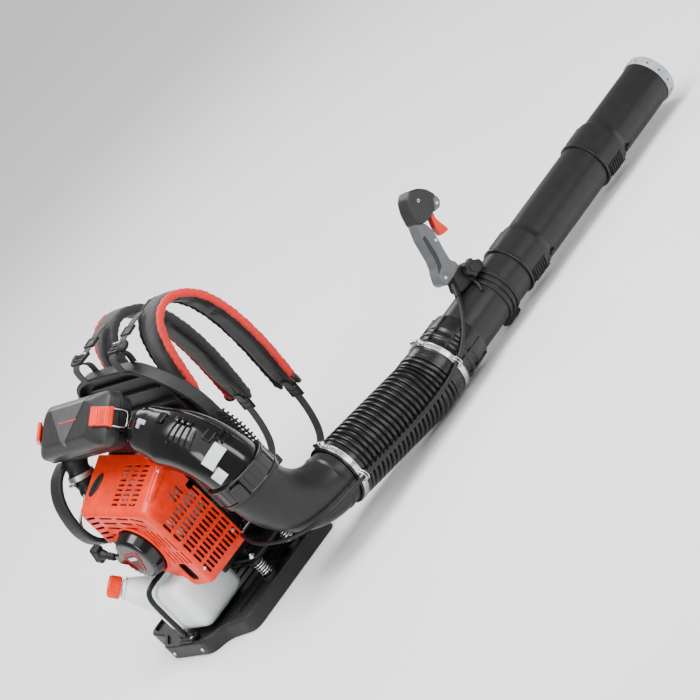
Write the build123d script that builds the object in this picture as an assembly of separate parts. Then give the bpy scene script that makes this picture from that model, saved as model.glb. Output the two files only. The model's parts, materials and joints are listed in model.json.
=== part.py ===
from build123d import *
import math
import os

# Backpack leaf blower, millimetres. +Z is up and +Y is the wearer's forward direction.
# The origin is on the floor under the middle of the base; +X is the side of the air tube.

# ---- driving dimensions ----
BASE_HALF = 182          # half width of the base
BASE_FRONT = 165         # front edge of the base and of the back panel
BASE_REAR = -87          # rear edge of the side lobes
FOOT_REAR = -132         # rear edge of the middle foot
BASE_H = 30
PANEL_TOP = 458          # top of the back panel
PANEL_TOP_HALF = 84
SHOULDER_Z = 325         # height where the panel starts to narrow
CRANK_X, CRANK_Z = 35, 208
CRANK_PIN_Z, PISTON_PIN_Z = 228, 264
BORE_R = 26
FAN_R = 112
CASE_REAR, CASE_FRONT = 42, 108      # fan case along the crankshaft
CASE_SPLIT = 70          # plane where the two fan case halves meet
WALL = 3
TUBE_X, TUBE_Z = 306, 64             # axis of the blower tube
OUTLET_Y, OUTLET_Z = 45, 217         # axis and height of the fan case outlet
DUCT_R = 54
DUCT_TURN = 75           # degrees of arc
THROAT_X, THROAT_Z, THROAT_R = 104, 354, 31   # where the scroll starts to turn into the duct
SHOULDER, SHOULDER_R = (160, 51, 366), 46   # middle of the bend between the throat and the round duct
DUCT_ARC_X, DUCT_ARC_Z, DUCT_ARC_R = 181, 222, 125   # centre and radius of the duct's centre line
ELBOW_R = 55
ELBOW_BEND = 118
ELBOW_TURN = 82          # degrees, so the elbow's mouth points 8 degrees down
SPIGOT_R = 51           # inside the hose at both ends
HOSE_R = 60
HOSE_END = 441
CUFF_R = 58
PIPE_R, PIPE_BORE = 49, 46.5
MIDDLE_R = 48.6
NOZZLE_R, NOZZLE_BORE = 47.2, 44.5
JOINT_1, JOINT_2, TUBE_END = 735, 1010, 1230
CLEAR = 0.06             # radial clearance of running and twisting fits
CLEANER_TILT = 32
CLEANER_Y, CLEANER_Z = 33, 426
CLEANER_HALF = 132
COVER_X0, COVER_X1 = -58, 150
COVER_Y0, COVER_Y1 = -67, 39
COVER_Z0 = 108
CAP = (-70, -114, 176)   # middle of the fuel cap
KNOB_Y, KNOB_Z = 640, 134
LATCH_PIVOT = (135.8, 9)  # pivot of the latches, in the air cleaner's own tilted axes
STRAP_X = 89
STRAP_WIDTH = 74
CABLE_R = 3.5

os.makedirs("parts", exist_ok=True)
Y_AXIS = Vector(0, 1, 0)


# ---- helpers ----
def save(name, shape):
    solids = shape.solids() if hasattr(shape, "solids") else ShapeList([shape])
    export_step(solids[0] if len(solids) == 1 else Compound(children=list(solids)), f"parts/{name}.step")


def block(x, y, z):
    """Box from its low and high values along each axis."""
    size = [b - a for a, b in (x, y, z)]
    return Pos(*[(a + b) / 2 for a, b in (x, y, z)]) * Box(*size)


def rod(start, end, radius, end_radius=None):
    """Round bar or cone between two points."""
    a, b = Vector(*start), Vector(*end)
    plane = Plane(origin=a, z_dir=b - a)
    length = (b - a).length
    if end_radius is None or end_radius == radius:
        return plane * Cylinder(radius, length, align=(Align.CENTER, Align.CENTER, Align.MIN))
    return plane * Cone(radius, end_radius, length, align=(Align.CENTER, Align.CENTER, Align.MIN))


def ring(start, end, outer, inner):
    """Round tube between two points, with its bore run a little past both faces."""
    a, b = Vector(*start), Vector(*end)
    d = (b - a).normalized()
    return rod(start, end, outer) - rod(tuple(a - d), tuple(b + d), inner)


def xz_plate(points, y0, y1):
    """Flat outline in X and Z, drawn from y0 to y1."""
    face = make_face(Polyline(*[(x, z) for x, z in points], close=True))
    return extrude(Plane(origin=(0, y1, 0), x_dir=(1, 0, 0), z_dir=(0, -1, 0)) * face, y1 - y0)


def yz_plate(points, x0, x1):
    """Flat outline in Y and Z, drawn from x0 to x1."""
    face = make_face(Polyline(*[(y, z) for y, z in points], close=True))
    return extrude(Plane(origin=(x0, 0, 0), x_dir=(0, 1, 0), z_dir=(1, 0, 0)) * face, x1 - x0)


def ribbon(points, thickness):
    """Outline of a band of even thickness along a chain of points."""
    sides = ([], [])
    for i, (y, z) in enumerate(points):
        y0, z0 = points[max(i - 1, 0)]
        y1, z1 = points[min(i + 1, len(points) - 1)]
        length = math.hypot(y1 - y0, z1 - z0)
        ny, nz = -(z1 - z0) / length, (y1 - y0) / length
        for side, sign in zip(sides, (1, -1)):
            side.append((y + sign * ny * thickness / 2, z + sign * nz * thickness / 2))
    return sides[0] + sides[1][::-1]


def soften(shape, edges, radius):
    """Rounds edges, and leaves the shape as it is where the radius doesn't fit."""
    try:
        rounded = fillet(edges, radius)
        return rounded if rounded.is_valid else shape
    except Exception:
        return shape


def both_sides(shape):
    return [shape, mirror(shape, Plane.YZ)]


def group(*shapes):
    return Compound(children=[solid for shape in shapes for solid in shape.solids()])


# ---- frame and harness ----
def base_outline(inset):
    right = [
        (BASE_HALF - inset, BASE_FRONT - inset), (BASE_HALF - inset, BASE_REAR + inset),
        (99 + inset, BASE_REAR - 14 + inset), (76 - inset, FOOT_REAR + inset),
    ]
    points = right + [(-x, y) for x, y in right[::-1]]
    return fillet(make_face(Polyline(*points, close=True)).vertices(), 12)


def base_frame():
    body = extrude(base_outline(0), BASE_H)
    body -= Pos(0, 0, BASE_H - 5) * extrude(base_outline(9), 6)
    ribs = block((-3, 3), (FOOT_REAR, BASE_FRONT), (0, 21)) + block((-BASE_HALF, BASE_HALF), (-3, 3), (0, 21))
    hollow = Pos(0, 0, -1) * extrude(base_outline(5), 22)
    body -= hollow - ribs
    for x, y in SPRING_PLACES:
        body += rod((x, y, BASE_H - 6), (x, y, 36), 14)
    return body


def panel_outline(inset):
    right = [
        (BASE_HALF - inset, BASE_H + 0.2 + inset), (BASE_HALF - inset, SHOULDER_Z - inset * 0.4),
        (150 - inset * 0.8, 378 - inset * 0.7), (PANEL_TOP_HALF - inset * 0.4, PANEL_TOP - inset),
    ]
    return right + [(-x, z) for x, z in right[::-1]]


def back_panel():
    rim = xz_plate(panel_outline(0), BASE_FRONT - 26, BASE_FRONT) - xz_plate(panel_outline(7), 0, 400)
    web = xz_plate(panel_outline(6), BASE_FRONT - 9, BASE_FRONT - 3)
    window = xz_plate([(-105, 95), (105, 95), (105, 285), (60, 330), (-60, 330), (-105, 285)], 0, 400)
    return rim + (web - window)


def intake_guard():
    """Row of bars that bulges out past the right side of the panel."""
    height, low, bars = 116, 190, 9
    post = block((BASE_HALF + 0.3, BASE_HALF + 5), (142, 160), (low, low + height))
    guard = post
    for i in range(bars):
        z = low + 6 + i * (height - 12) / (bars - 1)
        reach = 12 + 20 * math.sin(math.pi * (i + 1.5) / (bars + 2))
        guard += block((BASE_HALF + 3, BASE_HALF + 5 + reach), (148, 158), (z - 2, z + 2))
        if i:
            guard += block((BASE_HALF + 5 + reach - 5, BASE_HALF + 5 + reach), (148, 158), (z - 9, z + 2))
    return guard


def back_pad():
    pad = block((-120, 120), (BASE_FRONT + 1, BASE_FRONT + 25), (70, 300))
    return soften(pad, pad.edges().filter_by(Axis.Y), 30)


STRAP_LINE = [(184, 318), (191, 352), (199, 392), (209, 432), (224, 464), (248, 481), (276, 482), (302, 467),
              (326, 438), (340, 396), (347, 340), (346, 268), (338, 190)]


def shoulder_strap():
    return yz_plate(ribbon(STRAP_LINE, 16), STRAP_X - STRAP_WIDTH / 2, STRAP_X + STRAP_WIDTH / 2)


def lower_webbing():
    line = [(337, 176), (330, 130), (312, 85), (262, 54), (206, 44), (BASE_FRONT + 2, 46)]
    return yz_plate(ribbon(line, 2.5), STRAP_X - 12.5, STRAP_X + 12.5)


def lower_adjuster():
    return block((STRAP_X - 20, STRAP_X + 20), (330, 346), (176.5, 186)) - block(
        (STRAP_X - 13, STRAP_X + 13), (334, 341), (170, 182))


def top_webbing():
    line = [(236, 492), (206, 490), (172, 484), (144, 484), (132, 474), (133, PANEL_TOP + 3)]
    return yz_plate(ribbon(line, 2.5), 60, 84)


def top_buckle():
    frame = block((56, 88), (147, 169), (479, 489))
    return frame - block((59, 85), (140, 180), (481.5, 486.5))


# ---- fan case and air path ----
def scroll_outline(gap):
    """Spiral wall about the crankshaft, from the tongue round the bottom, left side and top."""
    points = []
    for step in range(0, 15):
        angle = math.radians(-45 - step * 16.5)
        radius = 122 + 42 * (step / 14) ** 1.3 - gap
        points.append((CRANK_X + radius * math.cos(angle), CRANK_Z + radius * math.sin(angle)))
    return points


def scroll(gap):
    points = scroll_outline(gap)
    wall = Spline(*points)
    end, start = points[-1], points[0]
    roof = [(THROAT_X + 6, 384 - gap)]
    throat = [(THROAT_X + 6, 320), (160 - gap, 250), (156 - gap, 180)]
    edge = Polyline(end, *roof, *throat, start)
    face = make_face(wall + edge)
    depth = CASE_FRONT - CASE_REAR - 2 * gap
    plane = Plane(origin=(0, CASE_FRONT - gap, 0), x_dir=(1, 0, 0), z_dir=(0, -1, 0))
    return extrude(plane * face, depth)


def duct(radius):
    plane = Plane(origin=(DUCT_ARC_X, OUTLET_Y, DUCT_ARC_Z), x_dir=(1, 0, 0), z_dir=(0, -1, 0))
    arc = plane * CenterArc((0, 0), DUCT_ARC_R, 0, DUCT_TURN)
    section = Plane(origin=(TUBE_X, OUTLET_Y, DUCT_ARC_Z), z_dir=(0, 0, 1)) * Circle(radius)
    return sweep(section, path=arc) + rod((TUBE_X, OUTLET_Y, OUTLET_Z), (TUBE_X, OUTLET_Y, DUCT_ARC_Z), radius)


def transition(gap):
    """Round shoulder where the flat fan case turns into the round duct."""
    turn = math.radians(DUCT_TURN)
    x, z = DUCT_ARC_X + DUCT_ARC_R * math.cos(turn), DUCT_ARC_Z + DUCT_ARC_R * math.sin(turn)
    start, middle = Vector(x, OUTLET_Y, z), Vector(*SHOULDER)
    throat = Vector(THROAT_X, (CASE_REAR + CASE_FRONT) / 2, THROAT_Z)
    heading = Vector(-math.sin(turn), 0, math.cos(turn))
    stations = [(start, heading, DUCT_R), (middle, throat - start, SHOULDER_R), (throat, throat - middle, THROAT_R)]
    return loft([Plane(origin=place, x_dir=(0, 1, 0), z_dir=facing) * Circle(radius - gap)
                 for place, facing, radius in stations], ruled=True)


def volute_case():
    """Fan chamber and outlet duct as one hollow shape, before it is cut into its two halves."""
    outer = scroll(0) + duct(DUCT_R) + transition(0)
    inner = scroll(WALL) + duct(DUCT_R - WALL) + transition(WALL)
    collar = rod((TUBE_X, OUTLET_Y, OUTLET_Z), (TUBE_X, OUTLET_Y, OUTLET_Z + 40), 62)
    case = outer + collar - inner
    case -= rod((TUBE_X, OUTLET_Y, OUTLET_Z - 1), (TUBE_X, OUTLET_Y, DUCT_ARC_Z), DUCT_R - WALL)
    case -= rod((CRANK_X, 90, CRANK_Z), (CRANK_X, 140, CRANK_Z), 78)
    case -= rod((CRANK_X, 0, CRANK_Z), (CRANK_X, 60, CRANK_Z), 14)
    return case


def volute_halves():
    case = volute_case()
    low, high = (-40, CASE_SPLIT - 0.05), (CASE_SPLIT + 0.05, 160)
    rear = case & block((-200, 420), low, (0, 500))
    front = case & block((-200, 420), high, (0, 500))
    return main_solid(rear), main_solid(front)


def main_solid(shape):
    return sorted(shape.solids(), key=lambda s: s.volume)[-1]


def front_screws():
    screws = []
    for degrees in (110, 150, 190, 230, 270, 305):
        a = math.radians(degrees)
        x, z = CRANK_X + 100 * math.cos(a), CRANK_Z + 100 * math.sin(a)
        screws.append(rod((x, CASE_FRONT + 0.1, z), (x, CASE_FRONT + 5, z), 4.5))
    return screws


def impeller():
    hub = ring((CRANK_X, 48, CRANK_Z), (CRANK_X, 88, CRANK_Z), 24, 10 + CLEAR)
    disc = ring((CRANK_X, 48, CRANK_Z), (CRANK_X, 51, CRANK_Z), FAN_R, 20)
    fan = hub + disc
    for i in range(18):
        blade = block((0, 3), (50, 98), (60, FAN_R - 2))
        fan += Pos(CRANK_X, 0, CRANK_Z) * Rot(0, i * 20, 0) * blade
    return fan


def elbow_bend(radius):
    """Bend of the elbow, with the place and direction of its mouth."""
    plane = Plane(origin=(TUBE_X, OUTLET_Y + ELBOW_BEND, OUTLET_Z), x_dir=(0, -1, 0), z_dir=(1, 0, 0))
    arc = plane * CenterArc((0, 0), ELBOW_BEND, 0, ELBOW_TURN)
    section = Plane(origin=(TUBE_X, OUTLET_Y, OUTLET_Z), z_dir=(0, 0, 1)) * Circle(radius)
    return sweep(section, path=arc), arc @ 1, arc % 1


def elbow():
    outer, end, along = elbow_bend(ELBOW_R)
    inner, _, _ = elbow_bend(ELBOW_R - WALL)
    neck = rod((TUBE_X, OUTLET_Y, OUTLET_Z - 1), (TUBE_X, OUTLET_Y, OUTLET_Z + 4.8), DUCT_R - WALL - CLEAR)
    bead = rod((TUBE_X, OUTLET_Y, OUTLET_Z - 8), (TUBE_X, OUTLET_Y, OUTLET_Z - 0.4), ELBOW_R + 4)
    seat = rod(tuple(end), tuple(end + along * 22), ELBOW_R)
    spigot = rod(tuple(end), tuple(end + along * 46), SPIGOT_R)
    lug = block((TUBE_X - 8, TUBE_X + 8), (OUTLET_Y + 52, OUTLET_Y + 74), (OUTLET_Z - 20, OUTLET_Z - 4))
    step = rod((TUBE_X, OUTLET_Y, OUTLET_Z - 8), (TUBE_X, OUTLET_Y, OUTLET_Z), ELBOW_R)
    body = outer + bead + seat + spigot + lug - inner + neck + step
    body -= rod((TUBE_X, OUTLET_Y, OUTLET_Z - 9), (TUBE_X, OUTLET_Y, OUTLET_Z + 20), DUCT_R - 2 * WALL)
    return body - rod(tuple(end - along * 0.1), tuple(end + along * 50), SPIGOT_R - WALL)


def hose_line():
    """Centre line of the hose: straight out of the elbow, then levelling out along the tube."""
    _, end, along = elbow_bend(ELBOW_R)
    start = end + along * 22.2
    drop = start.Z - TUBE_Z
    level = HOSE_END - 26
    reach = level - start.Y
    tilt = math.radians(90 - ELBOW_TURN)
    bend = (reach * math.tan(tilt) - drop) / (math.sin(tilt) * math.tan(tilt) - 1 + math.cos(tilt))
    middle = Vector(TUBE_X, level - bend * math.sin(tilt), TUBE_Z + bend * (1 - math.cos(tilt)))
    plane = Plane(origin=(TUBE_X, level, TUBE_Z + bend), x_dir=(0, 1, 0), z_dir=(1, 0, 0))
    arc = plane * CenterArc((0, 0), bend, 270 - math.degrees(tilt), math.degrees(tilt))
    return Line(start, middle) + arc + Line((TUBE_X, level, TUBE_Z), (TUBE_X, HOSE_END, TUBE_Z)), start, along


def flex_hose():
    line, start, along = hose_line()
    plane = Plane(origin=start, z_dir=along)
    outer = sweep(plane * Circle(HOSE_R), path=line)
    inner = sweep(plane * Circle(SPIGOT_R + CLEAR), path=line)
    return outer - inner


def hose_clamp_rear():
    _, start, along = hose_line()
    centre = start + along * 9
    band = ring(tuple(start + along * 3), tuple(start + along * 15), HOSE_R + 2, HOSE_R + CLEAR)
    screw = rod((TUBE_X - 12, centre.Y, centre.Z + HOSE_R + 6), (TUBE_X + 12, centre.Y, centre.Z + HOSE_R + 6), 5)
    return band + screw


def hose_clamp_front():
    band = ring((TUBE_X, 458, TUBE_Z), (TUBE_X, 470, TUBE_Z), CUFF_R + 1.6, CUFF_R + CLEAR)
    screw = rod((TUBE_X - 12, 464, TUBE_Z + CUFF_R + 5), (TUBE_X + 12, 464, TUBE_Z + CUFF_R + 5), 5)
    return band + screw


def hose_cuff():
    """Ribbed collar between the hose and the first pipe, with a spigot into the hose."""
    outline = [(CUFF_R, HOSE_END + 0.2), (CUFF_R, 478), (CUFF_R - 2, 482), (CUFF_R - 2, 490), (CUFF_R, 494),
               (CUFF_R, 502), (CUFF_R - 3, 506), (CUFF_R - 3, 514), (CUFF_R - 1, 518), (CUFF_R - 4, 540)]
    bore = PIPE_R + CLEAR
    profile = [(SPIGOT_R, HOSE_END - 24), (SPIGOT_R, HOSE_END + 0.2)] + outline
    profile += [(bore, 540), (bore, 456), (SPIGOT_R - WALL, 456), (SPIGOT_R - WALL, HOSE_END - 24)]
    return turned(profile)


def turned(profile):
    """Solid of revolution about the tube's axis from radius and Y values."""
    face = make_face(Polyline(*[(TUBE_X + r, y) for r, y in profile], close=True))
    return revolve(Pos(0, 0, TUBE_Z) * face, Axis((TUBE_X, 0, TUBE_Z), (0, 1, 0)))


def bayonet_lugs(y, radius, count=4):
    """Raised ribbed pads round a socket's mouth."""
    lugs = []
    for i in range(count):
        angle = 45 + i * 360 / count
        for row in range(5):
            pad = block((-15, 15), (y + 7 * row, y + 7 * row + 4), (radius - 1, radius + 3.2))
            lugs.append(Pos(TUBE_X, 0, TUBE_Z) * Rot(0, angle, 0) * pad)
    return lugs


def swivel_pipe():
    return turned([(PIPE_R, 457), (PIPE_R, JOINT_1), (PIPE_BORE, JOINT_1), (PIPE_BORE, 457)])


def socket_pipe(y0, y1, radius, bore, into):
    """Pipe whose rear end is a wider socket over the pipe behind it."""
    inner = into + CLEAR
    outer = into + 2.6
    end = y0 + 32
    profile = [(outer, y0), (outer, y0 + 58), (radius, y0 + 66), (radius, y1), (bore, y1), (bore, end), (inner, end),
               (inner, y0)]
    pipe = turned(profile)
    for lug in bayonet_lugs(y0 + 8, outer):
        pipe += lug
    return pipe


def middle_pipe():
    pipe = socket_pipe(JOINT_1 - 30, JOINT_2, MIDDLE_R, PIPE_BORE, PIPE_R)
    for angle in (-35, 145):
        rib = block((-4, 4), (JOINT_2 - 78, JOINT_2 - 44), (MIDDLE_R - 1, MIDDLE_R + 3))
        pipe += Pos(TUBE_X, 0, TUBE_Z) * Rot(0, angle, 0) * rib
    return pipe


def nozzle_pipe():
    return socket_pipe(JOINT_2 - 30, TUBE_END - 3, NOZZLE_R, NOZZLE_BORE, MIDDLE_R)


def nozzle_ring():
    y = TUBE_END
    return turned([(NOZZLE_R + CLEAR, y - 22), (NOZZLE_R + 2.4, y - 22), (NOZZLE_R + 2.4, y), (NOZZLE_BORE, y),
                   (NOZZLE_BORE, y - 2.8), (NOZZLE_R + CLEAR, y - 2.8)])


# ---- handle ----
def handle_bracket():
    """Two bands round the pipe with a saddle on top that holds the handle and the knob."""
    bands = Part()
    for y in (628, 652):
        bands += ring((TUBE_X, y, TUBE_Z), (TUBE_X, y + 9, TUBE_Z), PIPE_R + 4, PIPE_R + CLEAR)
    saddle = yz_plate([(590, 122), (600, 114), (668, 109), (672, 128), (652, 140), (628, 150), (608, 152)],
                      TUBE_X - 15, TUBE_X + 15)
    saddle += block((TUBE_X - 15, TUBE_X + 15), (628, 661), (TUBE_Z + 44, TUBE_Z + 54))
    foot = block((TUBE_X - 9, TUBE_X + 9), (626, 663), (TUBE_Z - PIPE_R - 12, TUBE_Z - PIPE_R + 3))
    body = bands + saddle + foot
    body -= rod((TUBE_X, 560, TUBE_Z), (TUBE_X, 740, TUBE_Z), PIPE_R + CLEAR)
    body -= rod((TUBE_X - 40, KNOB_Y, KNOB_Z), (TUBE_X + 40, KNOB_Y, KNOB_Z), 3 + CLEAR)
    return body


def knob():
    star = rod((TUBE_X + 15.4, KNOB_Y, KNOB_Z), (TUBE_X + 32, KNOB_Y, KNOB_Z), 14)
    for i in range(6):
        a = math.radians(60 * i)
        y, z = KNOB_Y + 13 * math.cos(a), KNOB_Z + 13 * math.sin(a)
        star += rod((TUBE_X + 17, y, z), (TUBE_X + 31, y, z), 5)
    return star + rod((TUBE_X - 14, KNOB_Y, KNOB_Z), (TUBE_X + 16, KNOB_Y, KNOB_Z), 3)


def handle_grip():
    outline = [(585, 148), (579, 160), (588, 172), (595, 180), (601, 194), (612, 238), (625, 262), (639, 250),
               (641, 232), (637, 211), (631, 193), (625, 171), (628, 153.5), (610, 153)]
    body = yz_plate(outline, TUBE_X - 15, TUBE_X + 15)
    return soften(body, body.edges().filter_by(Axis.X, reverse=True), 6)


def handle_head():
    outline = [(626, 264), (634, 287), (645, 304), (658, 311), (675, 303), (688, 288), (694, 273), (691, 256),
               (684, 250), (667, 252), (655, 250), (640, 251.5)]
    body = yz_plate(outline, TUBE_X - 19, TUBE_X + 19)
    body = soften(body, body.edges().filter_by(Axis.X, reverse=True), 7)
    return body - rod((TUBE_X - 30, 664, 278), (TUBE_X - 16, 664, 278), 8)


def trigger():
    return yz_plate([(664, 249.5), (672, 249.5), (666, 240), (667, 226), (669, 207), (651, 212), (653, 228), (658, 240)],
                    TUBE_X - 6, TUBE_X + 6)


def stop_switch():
    disc = rod((TUBE_X - 21, 664, 278), (TUBE_X - 16.5, 664, 278), 8 - CLEAR)
    return disc + block((TUBE_X - 27, TUBE_X - 20), (661, 667), (270, 286))


def handle_screws():
    places = [(592, 159, 15), (632, 214, 15), (660, 288, 19), (684, 258, 19)]
    return Compound(children=[rod((TUBE_X + x, y, z), (TUBE_X + x + 2.5, y, z), 3.6) for y, z, x in places])


# Route of the throttle cable from the engine, under the elbow, along the hose and up to the handle.
CABLE_ROUTE = [(152, 34, 118), (188, 18, 113), (232, 10, 109), (276, 8, 107), (318, 20, 101), (350, 50, 93),
               (366, 94, 87), (373, 142, 84), (375, 196, 79), (374, 250, 70), (375, 304, 64), (373, 360, 59),
               (373, 414, 58), (371, 462, 64), (367, 506, 80), (355, 544, 102), (338, 573, 121), (322, 592, 140)]


def throttle_cable():
    points = [Vector(*p) for p in CABLE_ROUTE]
    radii = []
    for before, here, after in zip(points, points[1:], points[2:]):
        turn = math.radians((here - before).get_angle(after - here))
        radii.append(0.45 * min((here - before).length, (after - here).length) / math.tan(turn / 2))
    line = FilletPolyline(*points, radius=radii)
    section = Plane(origin=points[0], z_dir=points[1] - points[0]) * Circle(CABLE_R)
    tube = sweep(section, path=line)
    share = tube.volume / (math.pi * CABLE_R ** 2 * line.length)
    print(f"throttle cable {line.length:.0f} mm, volume share {share:.4f}, smallest radius {min(radii):.0f}")
    return tube


# ---- engine ----
def crank_block(outline_x, y, z):
    return block((CRANK_X + outline_x[0], CRANK_X + outline_x[1]), y, z)


def crankcase():
    body = rod((CRANK_X, -34, CRANK_Z), (CRANK_X, 26, CRANK_Z), 44)
    body += crank_block((-40, 40), (-34, 26), (CRANK_Z, 252))
    body -= rod((CRANK_X, -28, CRANK_Z), (CRANK_X, 20, CRANK_Z), 38)
    body -= rod((CRANK_X, -40, CRANK_Z), (CRANK_X, 30, CRANK_Z), 10 + CLEAR)
    return body - rod((CRANK_X, -4, 230), (CRANK_X, -4, 260), BORE_R)


def cylinder():
    body = rod((CRANK_X, -4, 252.2), (CRANK_X, -4, 300), 33)
    for z in range(256, 290, 6):
        fin = crank_block((-46, 46), (-46, 34), (z, z + 2.6))
        body += soften(fin, fin.edges().filter_by(Axis.Z), 12)
    body -= rod((CRANK_X, -4, 252), (CRANK_X, -4, 291), BORE_R)
    return body - rod((CRANK_X, -4, 290), (CRANK_X, -4, 320), 6)


def piston():
    body = rod((CRANK_X, -4, 252), (CRANK_X, -4, 284), BORE_R - CLEAR)
    body -= rod((CRANK_X, -4, 250), (CRANK_X, -4, 279), BORE_R - 4)
    return body + rod((CRANK_X, -4 - BORE_R + 3, PISTON_PIN_Z), (CRANK_X, -4 + BORE_R - 3, PISTON_PIN_Z), 5)


def connecting_rod():
    body = block((CRANK_X - 5, CRANK_X + 5), (-8, 0), (CRANK_PIN_Z + 9, PISTON_PIN_Z - 8))
    body += ring((CRANK_X, -8, PISTON_PIN_Z), (CRANK_X, 0, PISTON_PIN_Z), 10, 5 + CLEAR)
    return body + ring((CRANK_X, -8, CRANK_PIN_Z), (CRANK_X, 0, CRANK_PIN_Z), 11, 6 + CLEAR)


def crank_throw():
    webs = rod((CRANK_X, -20, CRANK_Z), (CRANK_X, -9, CRANK_Z), 34) + rod((CRANK_X, 1, CRANK_Z), (CRANK_X, 12, CRANK_Z), 34)
    return webs + rod((CRANK_X, -20, CRANK_PIN_Z), (CRANK_X, 12, CRANK_PIN_Z), 6)


def shaft(y0, y1):
    return rod((CRANK_X, y0, CRANK_Z), (CRANK_X, y1, CRANK_Z), 10)


def flywheel():
    rim = ring((CRANK_X, -62, CRANK_Z), (CRANK_X, -40, CRANK_Z), 44, 36)
    web = ring((CRANK_X, -46, CRANK_Z), (CRANK_X, -40, CRANK_Z), 37, 10 + CLEAR)
    return rim + web


def spark_plug():
    body = rod((CRANK_X, -4, 286), (CRANK_X, -4, 302), 5.9)
    return body + rod((CRANK_X, -4, 300.4), (CRANK_X, -4, 306), 9)


def plug_cap():
    return rod((CRANK_X, -4, 306.3), (CRANK_X, -4, 317), 9) + rod((CRANK_X, -4, 312), (CRANK_X - 26, 12, 312), 4.5)


def muffler():
    body = block((92, 140), (-46, 34), (196, 286))
    body = soften(body, body.edges(), 8)
    return body + block((CRANK_X + 46.3, 93), (-20, 12), (262, 278))


def carburettor():
    body = block((-66, -26), (-24, 16), (252, 290)) + block((-27, CRANK_X - 46.2), (-20, 12), (256, 286))
    body -= rod((-80, -4, 271), (0, -4, 271), 11)
    body -= rod((-40, -25, 262), (-40, -20.4, 262), 8.5)
    return body + rod((-52, -4, 289), (-52, -4, 294), 6)


def throttle_lever():
    lever = rod((-52, -4, 294.4), (-52, -4, 297), 6) + block((-52, -30), (-7, -1), (294.4, 297))
    return lever


def choke_lever():
    return rod((-58, -29, 262), (-58, -24.4, 262), 6) + block((-61, -55), (-29, -26), (238, 262))


def purge_bulb():
    dome = Pos(-40, -28, 262) * Sphere(7) & block((-60, -20), (-40, -24.6), (250, 275))
    return rod((-40, -28, 262), (-40, -24.6, 262), 8) + dome


BOOT_ROUTE = [(-66.5, -4, 271), (-86, -4, 271), (-100, -3, 290), (-103, 0, 318), (-103, 3, 345)]


def intake_boot():
    points = [Vector(*p) for p in BOOT_ROUTE]
    line = FilletPolyline(*points, radius=[20, 20, 40])
    start = Plane(origin=points[0], z_dir=points[1] - points[0])
    outer = sweep(start * Circle(20), path=line)
    return outer - sweep(start * Circle(15), path=line)


def boot_clamp():
    a, b = Vector(*BOOT_ROUTE[-2]), Vector(*BOOT_ROUTE[-1])
    d = (b - a).normalized()
    band = ring(tuple(b - d * 14), tuple(b - d * 2), 23, 20 + CLEAR)
    return band


def left_guard():
    """Curved bar that protects the left side of the engine."""
    arc = [(-22, 372), (-44, 352), (-60, 326), (-69, 298), (-73, 270), (-68, 248), (-52, 232)]
    return yz_plate(ribbon(arc, 7), -132, -98)


# ---- engine cover ----
def roof_height(x, y):
    return 282 + 0.172 * (COVER_X1 - x) + 0.37 * (y - COVER_Y0)


def cover_block(inset, low):
    """Solid under the sloping roof, drawn in from the sides by an inset."""
    x0, x1, y0, y1 = COVER_X0 + inset, COVER_X1 - inset, COVER_Y0 + inset, COVER_Y1
    wedge = block((x0, x1), (y0, y1 + (1 if inset else 0)), (low, 400))
    a, b, c = ((x, y, roof_height(x, y) - inset) for x, y in ((x0, y0), (x1, y0), (x1, y1)))
    roof = Plane(origin=a, x_dir=Vector(*b) - Vector(*a), z_dir=(Vector(*b) - Vector(*a)).cross(Vector(*c) - Vector(*a)))
    above = roof * Box(900, 900, 300, align=(Align.CENTER, Align.CENTER, Align.MIN))
    return wedge - above


def cover_slots():
    """Cooling slots: tall ones in the right side, short ones in the roof and a fan pattern in the rear."""
    slots = []
    for column in range(9):
        y = -54 + column * 10.4
        for row in range(6):
            low = 122 + row * 26
            slots.append(block((COVER_X1 - 8, COVER_X1 + 4), (y, y + 5.2), (low, low + 20)))
    for column in range(9):
        y = -46 + column * 9.2
        for row in range(3):
            x = 62 + row * 27
            z = roof_height(x + 8, y)
            slots.append(Pos(x + 9, y + 2.2, z) * Rot(0, 10, 0) * Box(18, 4.6, 16))
    for column in range(-3, 7):
        angle = math.radians(90 - column * 11)
        for row in range(3):
            radius = 64 + row * 24
            x, z = CRANK_X + radius * math.cos(angle), CRANK_Z + radius * math.sin(angle)
            if COVER_X0 + 14 < x < COVER_X1 - 14 and z < roof_height(x, COVER_Y0) - 14:
                slots.append(Pos(x, COVER_Y0, z) * Rot(0, column * 11, 0) * Box(5, 12, 18))
    return slots


def engine_cover():
    shell = cover_block(0, COVER_Z0) - cover_block(2.6, COVER_Z0 - 2)
    shell -= block((COVER_X0 - 1, COVER_X0 + 4), (-52, 60), (100, 300))
    shell -= block((COVER_X0 - 1, 19), (COVER_Y0 - 1, 60), (100, 200))
    shell -= rod((CRANK_X, -70, CRANK_Z), (CRANK_X, -40, CRANK_Z), 52)
    shell -= block((COVER_X0 - 1, 10), (COVER_Y0 - 1, COVER_Y0 + 4), (190, 236))
    shell -= block((COVER_X1 - 6, COVER_X1 + 1), (26, 42), (244, 256))
    shell -= Compound(children=cover_slots())
    shell -= block((COVER_X0 - 1, 86), (COVER_Y0 - 1, COVER_Y0 + 4), (100, 142))
    return main_solid(shell)


def cover_screws():
    heads = [rod((COVER_X1 + 0.2, y, z), (COVER_X1 + 3, y, z), 4.5) for y, z in ((22, 294), (30, 136), (-60, 136))]
    return heads


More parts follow.
